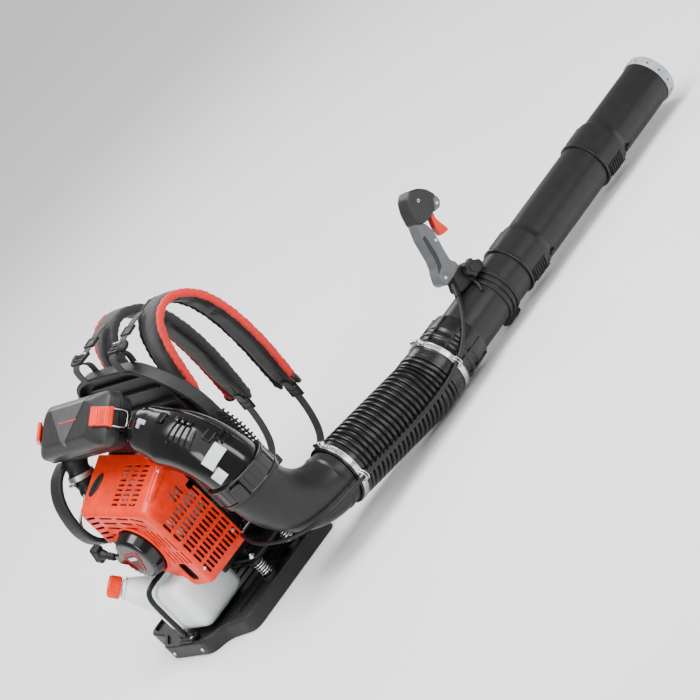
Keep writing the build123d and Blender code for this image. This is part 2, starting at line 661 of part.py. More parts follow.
# ---- starter ----
def recoil_housing():
    body = rod((CRANK_X, -68, CRANK_Z), (CRANK_X, -92, CRANK_Z), 50, 44)
    body -= rod((CRANK_X, -64, CRANK_Z), (CRANK_X, -89, CRANK_Z), 47, 41)
    body += rod((CRANK_X, -90, CRANK_Z), (CRANK_X, -72, CRANK_Z), 6)
    exit_block = block((-26, -4), (-92, -76), (205, 223))
    body += exit_block - rod((CRANK_X, -64, CRANK_Z), (CRANK_X, -89, CRANK_Z), 47, 41)
    rope_exit = Vector(*ROPE_EXIT)
    return body - rod(tuple(rope_exit + ROPE_DIR * 20), tuple(rope_exit - ROPE_DIR * 60), 3)


def starter_pulley():
    wheel = ring((CRANK_X, -86, CRANK_Z), (CRANK_X, -72, CRANK_Z), 30, 6 + CLEAR)
    return wheel - ring((CRANK_X, -82, CRANK_Z), (CRANK_X, -76, CRANK_Z), 31, 26)


def starter_rope():
    end = Vector(*ROPE_EXIT) + ROPE_DIR * 28
    return rod(tuple(Vector(*ROPE_EXIT) - ROPE_DIR * 10), tuple(end), 2)


def starter_grip():
    foot = Vector(*ROPE_EXIT) + ROPE_DIR * 12
    stem = rod(tuple(foot), tuple(foot + ROPE_DIR * 30), 7, 9)
    head = foot + ROPE_DIR * 40
    across = ROPE_DIR.cross(Y_AXIS).normalized()
    bar = rod(tuple(head - across * 17), tuple(head + across * 17), 11.5)
    return stem + bar - rod(tuple(foot - ROPE_DIR), tuple(foot + ROPE_DIR * 16.5), 2.4)


# ---- fuel tank ----
def tank_solid(inset):
    body = block((-62 + inset, 82 - inset), (-104 + inset, 12 - inset), (31 + inset, 136 - inset))
    body = soften(body, body.edges(), 16)
    low, high = Vector(*CAP) - CAP_DIR * 116, Vector(*CAP) - CAP_DIR * 14
    neck = rod(tuple(low + CAP_DIR * inset), tuple(high + CAP_DIR * (0.1 if inset else 0)), 46 - inset, 18.5 - inset)
    return body + neck


def fuel_tank():
    return tank_solid(0) - tank_solid(2.6)


def fuel_cap():
    middle = Vector(*CAP)
    cap = rod(tuple(middle - CAP_DIR * 13.6), tuple(middle + CAP_DIR * 11), 20)
    return cap - rod(tuple(middle - CAP_DIR * 14), tuple(middle - CAP_DIR * 4), 17)


def guard_hoop():
    """Bar that stands on the middle foot and reaches forward over the tank."""
    points = [(8, -117, BASE_H - 4.5), (9, -117.5, 80), (10, -117, 128), (11, -98, 147), (12, -48, 147)]
    line = FilletPolyline(*[Vector(*p) for p in points], radius=[60, 14, 12])
    bar = sweep(Plane(origin=points[0], z_dir=Vector(*points[1]) - Vector(*points[0])) * Circle(5), path=line)
    return bar


# ---- engine mounts ----
SPRING_PLACES = [(152, 18), (-152, 18), (152, 96), (-152, 96)]


def cradle():
    plate = block((-164, 164), (14, 110), (72, 78)) - block((-130, 130), (32, 84), (60, 90))
    for x, y in SPRING_PLACES:
        plate += rod((x, y, 66), (x, y, 72.5), 14)
    return plate


def spring(x, y):
    body = rod((x, y, 36.2), (x, y, 65.8), 8)
    for z in range(37, 64, 5):
        body += rod((x, y, z), (x, y, z + 2.6), 11)
    return body


def springs():
    return Compound(children=[spring(x, y) for x, y in SPRING_PLACES])


# ---- air cleaner ----
def cleaner_place():
    return Pos(0, CLEANER_Y, CLEANER_Z) * Rot(CLEANER_TILT, 0, 0)


def cleaner_outline(half_x, half_y, corner):
    right = [(half_x, -half_y + corner), (half_x, half_y - corner), (half_x - corner, half_y)]
    top = right + [(-x, y) for x, y in right[::-1]]
    bottom = [(-half_x + corner, -half_y), (half_x - corner, -half_y)]
    points = top + [(-half_x, -half_y + corner)] + bottom
    unique = [p for i, p in enumerate(points) if p not in points[:i]]
    return make_face(Polyline(*unique, close=True))


def cleaner_tub(inset):
    """Tub with a dent in its floor that clears the duct's shoulder."""
    low = Pos(0, 0, -38 + inset) * cleaner_outline(118 - inset, 45 - inset, 18)
    high = Pos(0, 0, -9 + (0.1 if inset else 0)) * cleaner_outline(128 - inset, 49 - inset, 20)
    return cleaner_place() * loft([low, high]) - transition(-1 - inset)


def cleaner_hood(inset):
    sections = [(-8.6 - (0.1 if inset else 0), CLEANER_HALF, 50, 22), (12 - inset, 130, 49, 24), (31 - inset, 92, 33, 22)]
    return loft([Pos(0, 0, z) * cleaner_outline(x - inset, y - inset, c) for z, x, y, c in sections], ruled=True)


def air_cleaner_case():
    tub = cleaner_tub(0) - cleaner_tub(2.6)
    return tub - cleaner_place() * Pos(-100, -24, -37) * Cylinder(14, 20)


def air_filter():
    body = block((-90, 90), (-34, 34), (-24, 8))
    return cleaner_place() * body


def air_cleaner_cover():
    return cleaner_place() * (cleaner_hood(0) - cleaner_hood(2.6))


def latch(sign):
    """Lever that lies on the hood's sloping end and turns about a barrel at its lower edge."""
    x, z = LATCH_PIVOT
    outline = [(102, 27.8), (130.8, 13.4), (x - 2.5, z), (x + 2.5, z), (x + 2, 14), (133, 19.5), (104, 34), (101, 31)]
    lever = xz_plate(outline, -19, 17) + rod((x, -19, z), (x, 17, z), 3)
    tab = lever if sign > 0 else mirror(lever, Plane.YZ)
    return cleaner_place() * tab


ROPE_EXIT = (-21, -86, 214)
ROPE_DIR = Vector(-0.90, -0.06, 0.43).normalized()
CAP_DIR = Vector(-0.42, -0.45, 0.79).normalized()


def main():
    volute_rear, volute_front = volute_halves()
    parts = {
        "base_frame": base_frame(),
        "back_panel": back_panel(),
        "intake_guard": intake_guard(),
        "back_pad": back_pad(),
        "shoulder_straps": group(*both_sides(shoulder_strap())),
        "strap_webbing": group(*both_sides(lower_webbing()), *both_sides(top_webbing())),
        "strap_buckles": group(*both_sides(lower_adjuster()), *both_sides(top_buckle())),
        "mount_springs": springs(),
        "engine_cradle": cradle(),
        "volute_rear": volute_rear,
        "volute_front": volute_front,
        "case_screws": group(*front_screws(), *cover_screws()),
        "impeller": impeller(),
        "crankcase": crankcase(),
        "cylinder": cylinder(),
        "piston": piston(),
        "connecting_rod": connecting_rod(),
        "crank_throw": crank_throw(),
        "shaft_ends": group(shaft(12.3, 88), shaft(-60, -20.3)),
        "flywheel": flywheel(),
        "spark_plug": spark_plug(),
        "plug_cap": plug_cap(),
        "muffler": muffler(),
        "carburettor": carburettor(),
        "throttle_lever": throttle_lever(),
        "choke_lever": choke_lever(),
        "purge_bulb": purge_bulb(),
        "intake_boot": intake_boot(),
        "boot_clamp": boot_clamp(),
        "left_guard": left_guard(),
        "engine_cover": engine_cover(),
        "recoil_housing": recoil_housing(),
        "starter_pulley": starter_pulley(),
        "starter_rope": starter_rope(),
        "starter_grip": starter_grip(),
        "fuel_tank": fuel_tank(),
        "fuel_cap": fuel_cap(),
        "guard_hoop": guard_hoop(),
        "air_cleaner_case": air_cleaner_case(),
        "air_filter": air_filter(),
        "air_cleaner_cover": air_cleaner_cover(),
        "latch_right": latch(1),
        "latch_left": latch(-1),
        "elbow": elbow(),
        "hose_clamp_rear": hose_clamp_rear(),
        "hose_clamp_front": hose_clamp_front(),
        "flex_hose": flex_hose(),
        "hose_cuff": hose_cuff(),
        "swivel_pipe": swivel_pipe(),
        "middle_pipe": middle_pipe(),
        "nozzle_pipe": nozzle_pipe(),
        "nozzle_ring": nozzle_ring(),
        "handle_bracket": handle_bracket(),
        "bracket_knob": knob(),
        "handle_grip": handle_grip(),
        "handle_head": handle_head(),
        "trigger": trigger(),
        "stop_switch": stop_switch(),
        "handle_screws": handle_screws(),
        "throttle_cable": throttle_cable(),
    }
    print(len(parts), "nodes")
    for name, shape in parts.items():
        save(name, shape)


main()
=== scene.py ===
import json
from math import copysign, cos, degrees, hypot, pi, radians, sin, sqrt, tan

import bmesh
import bpy
from mathutils import Matrix, Vector


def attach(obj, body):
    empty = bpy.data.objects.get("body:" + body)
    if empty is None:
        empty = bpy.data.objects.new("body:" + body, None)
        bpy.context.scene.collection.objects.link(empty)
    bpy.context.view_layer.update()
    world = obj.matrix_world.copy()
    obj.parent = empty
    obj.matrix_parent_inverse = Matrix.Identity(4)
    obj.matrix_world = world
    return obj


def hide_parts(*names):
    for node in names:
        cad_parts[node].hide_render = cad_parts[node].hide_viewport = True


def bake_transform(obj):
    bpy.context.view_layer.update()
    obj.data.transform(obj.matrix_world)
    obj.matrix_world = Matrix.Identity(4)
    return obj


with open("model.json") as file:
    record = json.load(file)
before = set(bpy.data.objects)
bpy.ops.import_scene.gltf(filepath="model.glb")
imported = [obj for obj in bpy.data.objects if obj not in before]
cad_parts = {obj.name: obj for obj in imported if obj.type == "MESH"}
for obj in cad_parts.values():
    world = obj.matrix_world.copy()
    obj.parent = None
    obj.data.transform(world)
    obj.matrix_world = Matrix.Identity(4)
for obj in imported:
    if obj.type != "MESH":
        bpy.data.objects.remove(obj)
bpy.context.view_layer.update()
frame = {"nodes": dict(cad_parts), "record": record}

# Backpack leaf blower. Sizes are in millimetres until a mesh is made, in the frame's own axes.
MM = 0.001
X_AXIS, Y_AXIS, Z_AXIS = Vector((1, 0, 0)), Vector((0, 1, 0)), Vector((0, 0, 1))
TUBE_X, TUBE_Z = 306, 64                            # axis of the blower tube, which runs along Y
TUBE_AXIS = (TUBE_X, 0, TUBE_Z), (0, 1, 0)
PIPE_R, MIDDLE_R, NOZZLE_R = 49, 48.6, 47.2         # the three pipes
PIPE_START, JOINT_1, JOINT_2, TUBE_END = 458, 735, 1010, 1230
CUFF_R, FRONT_CLAMP_Y = 58, 464
HOSE_R, HOSE_GROOVE_R, HOSE_END, HOSE_RIBS = 60, 54.4, 441, 21
SPIGOT_BORE = 51.2                                  # inside of the hose and outside of what it slips over
ELBOW_R, ELBOW_BEND, ELBOW_TURN = 55, 118, 82       # pipe radius, bend radius and degrees of bend
OUTLET_Y, OUTLET_Z = 45, 217                        # where the duct hands over to the elbow
DUCT_R, DUCT_TURN = 54, 75
DUCT_ARC_X, DUCT_ARC_Z, DUCT_ARC_R = 181, 222, 125  # centre and radius of the duct's middle line
SHOULDER, SHOULDER_R = (160, 51, 366), 46           # between the duct's arc and the fan case
THROAT, THROAT_R = (104, 75, 354), 32
CRANK_X, CRANK_Z = 35, 208                          # axis of the crankshaft, which runs along Y
CRANK_AXIS = (CRANK_X, 0, CRANK_Z), (0, 1, 0)
CASE_REAR, CASE_FRONT, CASE_SPLIT = 42, 108, 70     # fan case along Y
COVER_X0, COVER_X1, COVER_Y0, COVER_Y1, COVER_Z0 = -58, 150, -67, 39, 108
BASE_HALF, BASE_FRONT, BASE_REAR, FOOT_REAR, BASE_H = 182, 165, -87, -132, 30
PANEL_TOP = 458
STRAP_X, HANGER_X = 89, 72                          # right shoulder strap and the webbing it hangs from
CLEANER = Matrix.Translation((0, 33, 426)) @ Matrix.Rotation(radians(32), 4, "X")
LATCH_PIVOT = (135.8, 9)                            # in the air cleaner's own X and Z
SPRING_PLACES = [(152, 18), (-152, 18), (152, 96), (-152, 96)]
KNOB_Y, KNOB_Z = 640, 134
SWITCH_Y, SWITCH_Z = 664, 278
GRIP_HALF = 15
CABLE_R = 3.5


# ---- meshes ----
def link(name, mesh):
    obj = bpy.data.objects.new(name, mesh)
    bpy.context.scene.collection.objects.link(obj)
    return obj


def shade(mesh, sharp=35):
    mesh.shade_smooth()
    mesh.set_sharp_from_angle(angle=radians(sharp))


def add(verts, faces, sharp=35):
    """Mesh object from points in millimetres, smooth but for edges sharper than an angle in degrees."""
    mesh = bpy.data.meshes.new("part")
    mesh.from_pydata([Vector(v) * MM for v in verts], [], faces)
    bm = bmesh.new()
    bm.from_mesh(mesh)
    bmesh.ops.remove_doubles(bm, verts=bm.verts, dist=1e-6)
    bmesh.ops.dissolve_degenerate(bm, edges=bm.edges, dist=1e-7)
    bmesh.ops.recalc_face_normals(bm, faces=bm.faces)
    bm.to_mesh(mesh)
    bm.free()
    shade(mesh, sharp)
    return link("part", mesh)


def moved(obj, matrix):
    """Moves a mesh by a matrix whose shift is in millimetres."""
    metres = matrix.copy()
    metres.translation *= MM
    obj.data.transform(metres)
    return obj


def set_on(obj, place, along, across, up):
    """Turns a mesh's X, Y and Z to three directions and puts it at a place."""
    return moved(obj, Matrix.Translation(place) @ Matrix((along, across, up)).transposed().to_4x4())


def mirrored(obj):
    """Copy of a mesh on the other side of the plane X = 0."""
    twin = link(obj.name, obj.data.copy())
    twin.data.transform(Matrix.Scale(-1, 4, (1, 0, 0)))
    twin.data.flip_normals()
    return twin


def rounded(obj, width, steps=2, angle=40):
    """Rounds every edge sharper than an angle in degrees."""
    bm = bmesh.new()
    bm.from_mesh(obj.data)
    edges = [e for e in bm.edges if len(e.link_faces) == 2 and e.calc_face_angle(0) > radians(angle)]
    if edges and width:
        bmesh.ops.bevel(bm, geom=edges, offset=width * MM, segments=steps, profile=0.5, affect="EDGES",
                        clamp_overlap=True)
    bm.to_mesh(obj.data)
    bm.free()
    shade(obj.data)
    return obj


def bar(low, high, round_by=1.0, steps=2):
    """Box between two corners with rounded edges."""
    verts = [(x, y, z) for x in (low[0], high[0]) for y in (low[1], high[1]) for z in (low[2], high[2])]
    faces = [(0, 1, 3, 2), (4, 6, 7, 5), (0, 4, 5, 1), (2, 3, 7, 6), (0, 2, 6, 4), (1, 5, 7, 3)]
    return rounded(add(verts, faces), round_by, steps)


def prism(outline, axis, low, high, round_by=1.0, steps=2):
    """Outline in the two other coordinates, drawn along an axis from low to high."""
    place = {"x": lambda a, b, t: (t, a, b), "y": lambda a, b, t: (a, t, b),
             "z": lambda a, b, t: (a, b, t)}[axis]
    n = len(outline)
    verts = [place(a, b, t) for t in (low, high) for a, b in outline]
    faces = [tuple(range(n)), tuple(range(n, 2 * n))]
    faces += [(i, (i + 1) % n, n + (i + 1) % n, n + i) for i in range(n)]
    return rounded(add(verts, faces), round_by, steps)


def skin(rings, closed=False, sharp=35):
    """Surface through rings of the same number of points, with flat ends unless it is closed on itself."""
    n = len(rings[0])
    verts = [p for ring in rings for p in ring]
    spans = len(rings) if closed else len(rings) - 1
    faces = []
    for j in range(spans):
        a, b = j * n, (j + 1) % len(rings) * n
        faces += [(a + i, a + (i + 1) % n, b + (i + 1) % n, b + i) for i in range(n)]
    if not closed:
        faces += [tuple(range(n)), tuple(range(len(verts) - n, len(verts)))]
    return add(verts, faces, sharp)


def round_steps(count):
    return [2 * pi * k / count for k in range(count)]


def turned(profile, base, axis, segments=96, sharp=32):
    """Solid of revolution from a closed loop of (radius, distance along the axis)."""
    axis = Vector(axis).normalized()
    u = axis.orthogonal().normalized()
    v = axis.cross(u)
    turns = round_steps(segments)
    rings = [[Vector(base) + axis * t + (u * cos(a) + v * sin(a)) * max(r, 0.001) for a in turns]
             for r, t in profile]
    return skin(rings, closed=True, sharp=sharp)


def rod(start, end, radius, end_radius=None, segments=32, round_by=0.6):
    """Round bar between two points with softened ends."""
    a, b = Vector(start), Vector(end)
    length = (b - a).length
    last = radius if end_radius is None else end_radius
    c = min(round_by, radius * 0.4, last * 0.4, length * 0.4)
    profile = [(0, 0), (radius - c, 0), (radius, c), (last, length - c), (last - c, length), (0, length)]
    return turned(profile, a, b - a, segments)


def frames(line):
    """Each point of a line with its direction and two steady cross directions."""
    points = [Vector(p) for p in line]
    tangents = [(points[min(i + 1, len(points) - 1)] - points[max(i - 1, 0)]).normalized()
                for i in range(len(points))]
    across = tangents[0].orthogonal().normalized()
    found = []
    for p, t in zip(points, tangents):
        across = (across - t * across.dot(t)).normalized()
        found.append((p, t, across, t.cross(across)))
    return found


def tube(line, radius, sides=32):
    """Round tube along a line; the radius is a number or a function of the share of its length."""
    size = radius if callable(radius) else lambda share: radius
    steps = frames(line)
    turns = round_steps(sides)
    return skin([[p + (u * cos(a) + v * sin(a)) * size(i / (len(steps) - 1)) for a in turns]
                 for i, (p, _, u, v) in enumerate(steps)])


def band(line, across, width, thickness, corner=0.4):
    """Flat strap along a line, as wide as said in the across direction, with rounded edges."""
    rings = []
    for p, t, _, _ in frames(line):
        side = Vector(across).normalized()
        up = t.cross(side).normalized()
        half, rise = width / 2, thickness / 2
        c = min(corner * thickness, rise)
        shape = [(half, rise - c), (half - c, rise), (-half + c, rise), (-half, rise - c), (-half, -rise + c),
                 (-half + c, -rise), (half - c, -rise), (half, -rise + c)]
        rings.append([p + side * a + up * b for a, b in shape])
    return skin(rings)


def smooth_line(route, resolution=10):
    """Points along the smooth NURBS line that a route of points steers."""
    data = bpy.data.curves.new("route", "CURVE")
    data.dimensions = "3D"
    spline = data.splines.new("NURBS")
    spline.points.add(len(route) - 1)
    for point, place in zip(spline.points, route):
        point.co = (*place, 1)
    spline.order_u = 3
    spline.use_endpoint_u = True
    spline.resolution_u = resolution
    obj = link("route", data)
    mesh = bpy.data.meshes.new_from_object(obj)
    points = [v.co.copy() for v in mesh.vertices]
    bpy.data.objects.remove(obj)
    return points


def flat_line(points, x, resolution=8):
    """Smooth line at one X through the neighbourhood of (Y, Z) points."""
    return smooth_line([(x, y, z) for y, z in points], resolution)


def softened(outline, radius, steps=5):
    """Closed outline with its corners rounded; the radius is a number or one for each corner."""
    radii = radius if isinstance(radius, list) else [radius] * len(outline)
    found = []
    for i, (corner, r) in enumerate(zip(outline, radii)):
        c = Vector(corner)
        before, after = Vector(outline[i - 1]) - c, Vector(outline[(i + 1) % len(outline)]) - c
        a = c + before.normalized() * min(r, before.length * 0.48)
        b = c + after.normalized() * min(r, after.length * 0.48)
        for k in range(steps + 1):
            s = k / steps
            found.append(tuple(a * (1 - s) ** 2 + c * 2 * s * (1 - s) + b * s * s))
    return found


def evaluated(obj):
    graph = bpy.context.evaluated_depsgraph_get()
    return bpy.data.meshes.new_from_object(obj.evaluated_get(graph), depsgraph=graph)


def joined(objs):
    """One object from several meshes."""
    bm = bmesh.new()
    for obj in objs:
        mesh = evaluated(obj)
        bm.from_mesh(mesh)
        bpy.data.objects.remove(obj)
        bpy.data.meshes.remove(mesh)
    mesh = bpy.data.meshes.new("part")
    bm.to_mesh(mesh)
    bm.free()
    return link("part", mesh)


def baked(obj):
    """The same object with its modifiers applied."""
    mesh = evaluated(obj)
    obj.modifiers.clear()
    obj.data = mesh
    return obj


def carved(obj, *cutters):
    """Takes the cutters' shapes out of a closed mesh."""
    tool = joined(cutters)
    boolean = obj.modifiers.new("carve", "BOOLEAN")
    boolean.operation = "DIFFERENCE"
    boolean.solver = "EXACT"
    boolean.use_self = True
    boolean.object = tool
    baked(obj)
    bpy.data.objects.remove(tool)
    shade(obj.data)
    return obj


def fused(objs, voxel, soften, factor=0.5):
    """One skin over several overlapping closed shapes, with soft joins."""
    obj = joined(objs)
    remesh = obj.modifiers.new("skin", "REMESH")
    remesh.mode = "VOXEL"
    remesh.voxel_size = voxel * MM
    if soften:
        smooth = obj.modifiers.new("soften", "SMOOTH")
        smooth.factor = factor
        smooth.iterations = soften
    baked(obj)
    obj.data.shade_smooth()
    return obj


def subdivided(obj, levels=1):
    modifier = obj.modifiers.new("smooth", "SUBSURF")
    modifier.levels = modifier.render_levels = levels
    return obj


# ---- materials ----
class Finish:
    """One Principled material built from layers of colour, roughness and bump in object space."""

    def __init__(self, name, colour, rough, **sockets):
        self.material = bpy.data.materials.new(name)
        self.material.use_nodes = True
        self.tree = self.material.node_tree
        self.shader = self.tree.nodes["Principled BSDF"]
        self.coords = self.tree.nodes.new("ShaderNodeTexCoord").outputs["Object"]
        self.colour = colour
        self.shader.inputs["Base Color"].default_value = (*colour, 1)
        self.shader.inputs["Roughness"].default_value = rough
        self.rough = rough
        for socket, value in sockets.items():
            self.shader.inputs[socket.replace("_", " ")].default_value = value

    def make(self, kind, **inputs):
        node = self.tree.nodes.new("ShaderNode" + kind)
        for name, value in inputs.items():
            socket = node.inputs[name.replace("_", " ")]
            if isinstance(value, bpy.types.NodeSocket):
                self.tree.links.new(value, socket)
            else:
                socket.default_value = value
        return node

    def noise(self, size, detail=3.0, stretch=(1, 1, 1)):
        """Soft random pattern whose features are about that many millimetres."""
        scaled = self.make("Mapping", Vector=self.coords, Scale=stretch)
        return self.make("TexNoise", Vector=scaled.outputs[0], Scale=1 / (size * MM),
                         Detail=detail).outputs["Fac"]

    def cells(self, size, random=1.0):
        return self.make("TexVoronoi", Vector=self.coords, Scale=1 / (size * MM),
                         Randomness=random).outputs["Distance"]

    def threads(self, pitch, direction):
        node = self.make("TexWave", Vector=self.coords, Scale=1 / (pitch * MM) / 20 * pi, Distortion=0.6)
        node.inputs["Detail Scale"].default_value = 2.0
        node.bands_direction = direction
        return node.outputs["Fac"]

    def tint(self, fac, dark, light, low=0.3, high=0.7):
        """Colour that runs from dark to light times the base colour as the pattern rises."""
        ramp = self.make("ValToRGB", Fac=fac)
        ramp.color_ramp.elements[0].position = low
        ramp.color_ramp.elements[1].position = high
        ramp.color_ramp.elements[0].color = (*[c * dark for c in self.colour], 1)
        ramp.color_ramp.elements[1].color = (*[min(1, c * light) for c in self.colour], 1)
        self.tree.links.new(ramp.outputs["Color"], self.shader.inputs["Base Color"])
        return self

    def uneven(self, fac, spread):
        """Roughness that wanders by the spread about its middle value."""
        span = self.make("MapRange", Value=fac, To_Min=max(0.02, self.rough - spread),
                         To_Max=self.rough + spread)
        self.tree.links.new(span.outputs[0], self.shader.inputs["Roughness"])
        return self

    def bump(self, fac, depth, strength=1.0):
        """Relief of that many millimetres on top of what is there."""
        node = self.make("Bump", Height=fac, Distance=depth * MM, Strength=strength)
        inlet = self.shader.inputs["Normal"]
        if inlet.is_linked:
            self.tree.links.new(inlet.links[0].from_socket, node.inputs["Normal"])
        self.tree.links.new(node.outputs["Normal"], inlet)
        return self

    def rounded_edges(self, radius):
        """Soft highlights on edges, as moulding leaves them."""
        node = self.tree.nodes.new("ShaderNodeBevel")
        node.samples = 4
        node.inputs["Radius"].default_value = radius * MM
        self.tree.links.new(node.outputs["Normal"], self.shader.inputs["Normal"])
        return self


def plastic(name, colour, rough, grain, depth, edge=0.0, wave=0.02, **sockets):
    """Moulded plastic: soft mottling, uneven gloss, fine grain and a slight ripple in the surface."""
    finish = Finish(name, colour, rough, **sockets)
    if edge:
        finish.rounded_edges(edge)
    finish.tint(finish.noise(18, 4), 0.86, 1.14)
    finish.uneven(finish.noise(7, 5), rough * 0.16)
    finish.bump(finish.noise(32, 1), wave)
    return finish.bump(finish.cells(grain), depth).material


def metal(name, colour, rough, grain, depth, stretch=(1, 1, 1), **sockets):
    """Metal with stained colour, uneven polish and a fine cast or brushed grain."""
    finish = Finish(name, colour, rough, Metallic=1.0, **sockets)
    finish.tint(finish.noise(6, 6), 0.7, 1.15)
    finish.uneven(finish.noise(2.5, 5, stretch), rough * 0.35)
    return finish.bump(finish.noise(grain, 3, stretch), depth).material


def mesh_cloth(name, colour):
    """Open mesh fabric over foam, with small pores and a soft sheen."""
    finish = Finish(name, colour, 0.82, Sheen_Weight=0.25, Sheen_Roughness=0.5)
    pores = finish.cells(2.6, 0.25)
    finish.tint(pores, 0.25, 1.5, 0.12, 0.5)
    finish.bump(finish.noise(24, 2), 0.8)
    finish.bump(pores, 0.5)
    return finish.bump(finish.noise(0.5, 2), 0.12).material


def woven(name, colour, pitch, directions, sheen=0.15, rough=0.7):
    """Woven tape with ribs along it and fine threads across it."""
    finish = Finish(name, colour, rough, Sheen_Weight=sheen)
    finish.tint(finish.noise(1.4, 4), 0.72, 1.3)
    for direction in directions:
        finish.bump(finish.threads(pitch, direction), 0.22)
    return finish.bump(finish.noise(0.6, 2), 0.1).material


def clear_plastic(name, colour):
    finish = Finish(name, colour, 0.3, Subsurface_Weight=0.35, Subsurface_Scale=0.012)
    finish.tint(finish.noise(40, 3), 0.93, 1.06)
    finish.uneven(finish.noise(9, 4), 0.06)
    finish.bump(finish.noise(26, 2), 0.25)
    return finish.bump(finish.noise(1.1, 2), 0.02).material


DULL = {"Specular_IOR_Level": 0.28}
MATERIALS = {
    "frame_plastic": plastic("frame_plastic", (0.012, 0.0123, 0.013), 0.5, 0.9, 0.03, edge=0.8, **DULL),
    "gloss_black": plastic("gloss_black", (0.004, 0.0041, 0.0045), 0.14, 3.0, 0.003, edge=0.6, wave=0.05,
                           Specular_IOR_Level=0.4),
    "tube_black": plastic("tube_black", (0.0095, 0.0096, 0.0102), 0.34, 1.2, 0.012, wave=0.05, **DULL),
    "hose_rubber": plastic("hose_rubber", (0.006, 0.006, 0.0062), 0.26, 1.5, 0.01, Specular_IOR_Level=0.35),
    "orange_plastic": plastic("orange_plastic", (0.78, 0.024, 0.0015), 0.3, 1.6, 0.006, edge=0.7, wave=0.03,
                              Specular_IOR_Level=0.3),
    "cleaner_grey": plastic("cleaner_grey", (0.020, 0.020, 0.0205), 0.42, 0.8, 0.03, edge=0.8, **DULL),
    "panel_grey": plastic("panel_grey", (0.060, 0.061, 0.064), 0.36, 0.7, 0.02, edge=0.4),
    "grip_grey": plastic("grip_grey", (0.082, 0.087, 0.095), 0.42, 0.7, 0.025, edge=0.6),
    "nozzle_grey": plastic("nozzle_grey", (0.33, 0.35, 0.38), 0.4, 0.9, 0.02, edge=0.4),
    "tank_white": clear_plastic("tank_white", (0.82, 0.88, 0.87)),
    "strap_fabric": mesh_cloth("strap_fabric", (0.010, 0.0095, 0.0095)),
    "webbing": woven("webbing", (0.009, 0.009, 0.0095), 1.5, "YZ"),
    "piping_red": woven("piping_red", (0.66, 0.006, 0.004), 0.9, "YZ", sheen=0.1, rough=0.6),
    "rubber": plastic("rubber", (0.009, 0.009, 0.009), 0.5, 0.8, 0.02, **DULL),
    "cast_alu": metal("cast_alu", (0.55, 0.55, 0.56), 0.42, 0.9, 0.05),
    "steel": metal("steel", (0.66, 0.66, 0.65), 0.24, 0.4, 0.008, (1, 8, 1)),
    "dark_steel": plastic("dark_steel", (0.007, 0.007, 0.0075), 0.32, 1.2, 0.02, edge=0.5, **DULL),
    "filter_media": woven("filter_media", (0.62, 0.54, 0.36), 3.0, "X"),
    "blank_plate": plastic("blank_plate", (0.62, 0.66, 0.68), 0.3, 1.4, 0.004),
}


def piece(obj, name, body, slot, replaces=(), finish=None, crisp=True):
    """Names a finished mesh, gives it its material and lets it ride on its body."""
    obj.name = obj.data.name = name
    obj.data.materials.clear()
    obj.data.materials.append(MATERIALS[finish or slot])
    if crisp:
        obj.modifiers.new("even normals", "WEIGHTED_NORMAL").keep_sharp = True
    if body:
        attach(obj, body)
    if replaces:
        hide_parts(*replaces)
    return obj


def finish_frame():
    """Gives each CAD node the material of its slot."""
    slots = {row["node"]: row["material_slot"] for row in frame["record"]["subparts"]}
    for name, obj in frame["nodes"].items():
        obj.data.materials.clear()
        obj.data.materials.append(MATERIALS[slots[name]])


# ---- blower tube ----
def round_tube(profile, name, body, slot, replaces, soft=0.8, segments=128):
    """Pipe about the tube's axis from a closed loop of (radius, Y)."""
    obj = turned(softened(profile, soft, 3), *TUBE_AXIS, segments)
    return piece(obj, name, body, slot, replaces)


def about_tube(obj, degrees):
    """Turns a mesh made above the tube's axis round that axis."""
    centre = Matrix.Translation((TUBE_X, 0, TUBE_Z))
    return moved(obj, centre @ Matrix.Rotation(radians(degrees), 4, "Y") @ centre.inverted())


def curved_pad(low_y, high_y, radius, rise, half_angle, degrees, round_by=1.0):
    """Raised plate that follows the tube's round wall."""
    steps = 8
    arc = [radians(-half_angle + 2 * half_angle * i / steps) for i in range(steps + 1)]
    outer = [(TUBE_X + (radius + rise) * sin(a), TUBE_Z + (radius + rise) * cos(a)) for a in arc]
    inner = [(TUBE_X + (radius - 1) * sin(a), TUBE_Z + (radius - 1) * cos(a)) for a in arc[::-1]]
    return about_tube(prism(outer + inner, "y", low_y, high_y, round_by), degrees)


def bayonet(start, radius):
    """Grip pads with ribs, a stop bar and a slotted catch on both sides of a socket."""
    found = []
    for degrees in (-52, 128):
        found.append(curved_pad(start + 8, start + 52, radius, 1.6, 17, degrees))
        for row in range(6):
            low = start + 11 + row * 6.6
            found.append(curved_pad(low, low + 3.4, radius, 4.4, 15, degrees, 1.2))
        found.append(curved_pad(start + 18, start + 62, radius, 1.8, 1.6, degrees + 26, 0.8))
        found.append(curved_pad(start + 66, start + 80, radius - 2, 3.6, 4.5, degrees, 1.2))
    return found


def socket_tube(start, end, radius, bore, into, name, body, replaces):
    """Pipe with a lipped socket over the pipe behind it."""
    fit, outer = into + 0.15, into + 2.6
    profile = [(outer + 1.6, start), (outer + 1.6, start + 5), (outer, start + 6.5), (outer, start + 62),
               (radius, start + 74), (radius, end), (bore, end), (bore, start + 32), (fit, start + 30),
               (fit, start)]
    pipe = turned(softened(profile, 1.2, 3), *TUBE_AXIS, 128)
    return piece(joined([pipe] + bayonet(start, outer)), name, body, "tube_black", replaces)


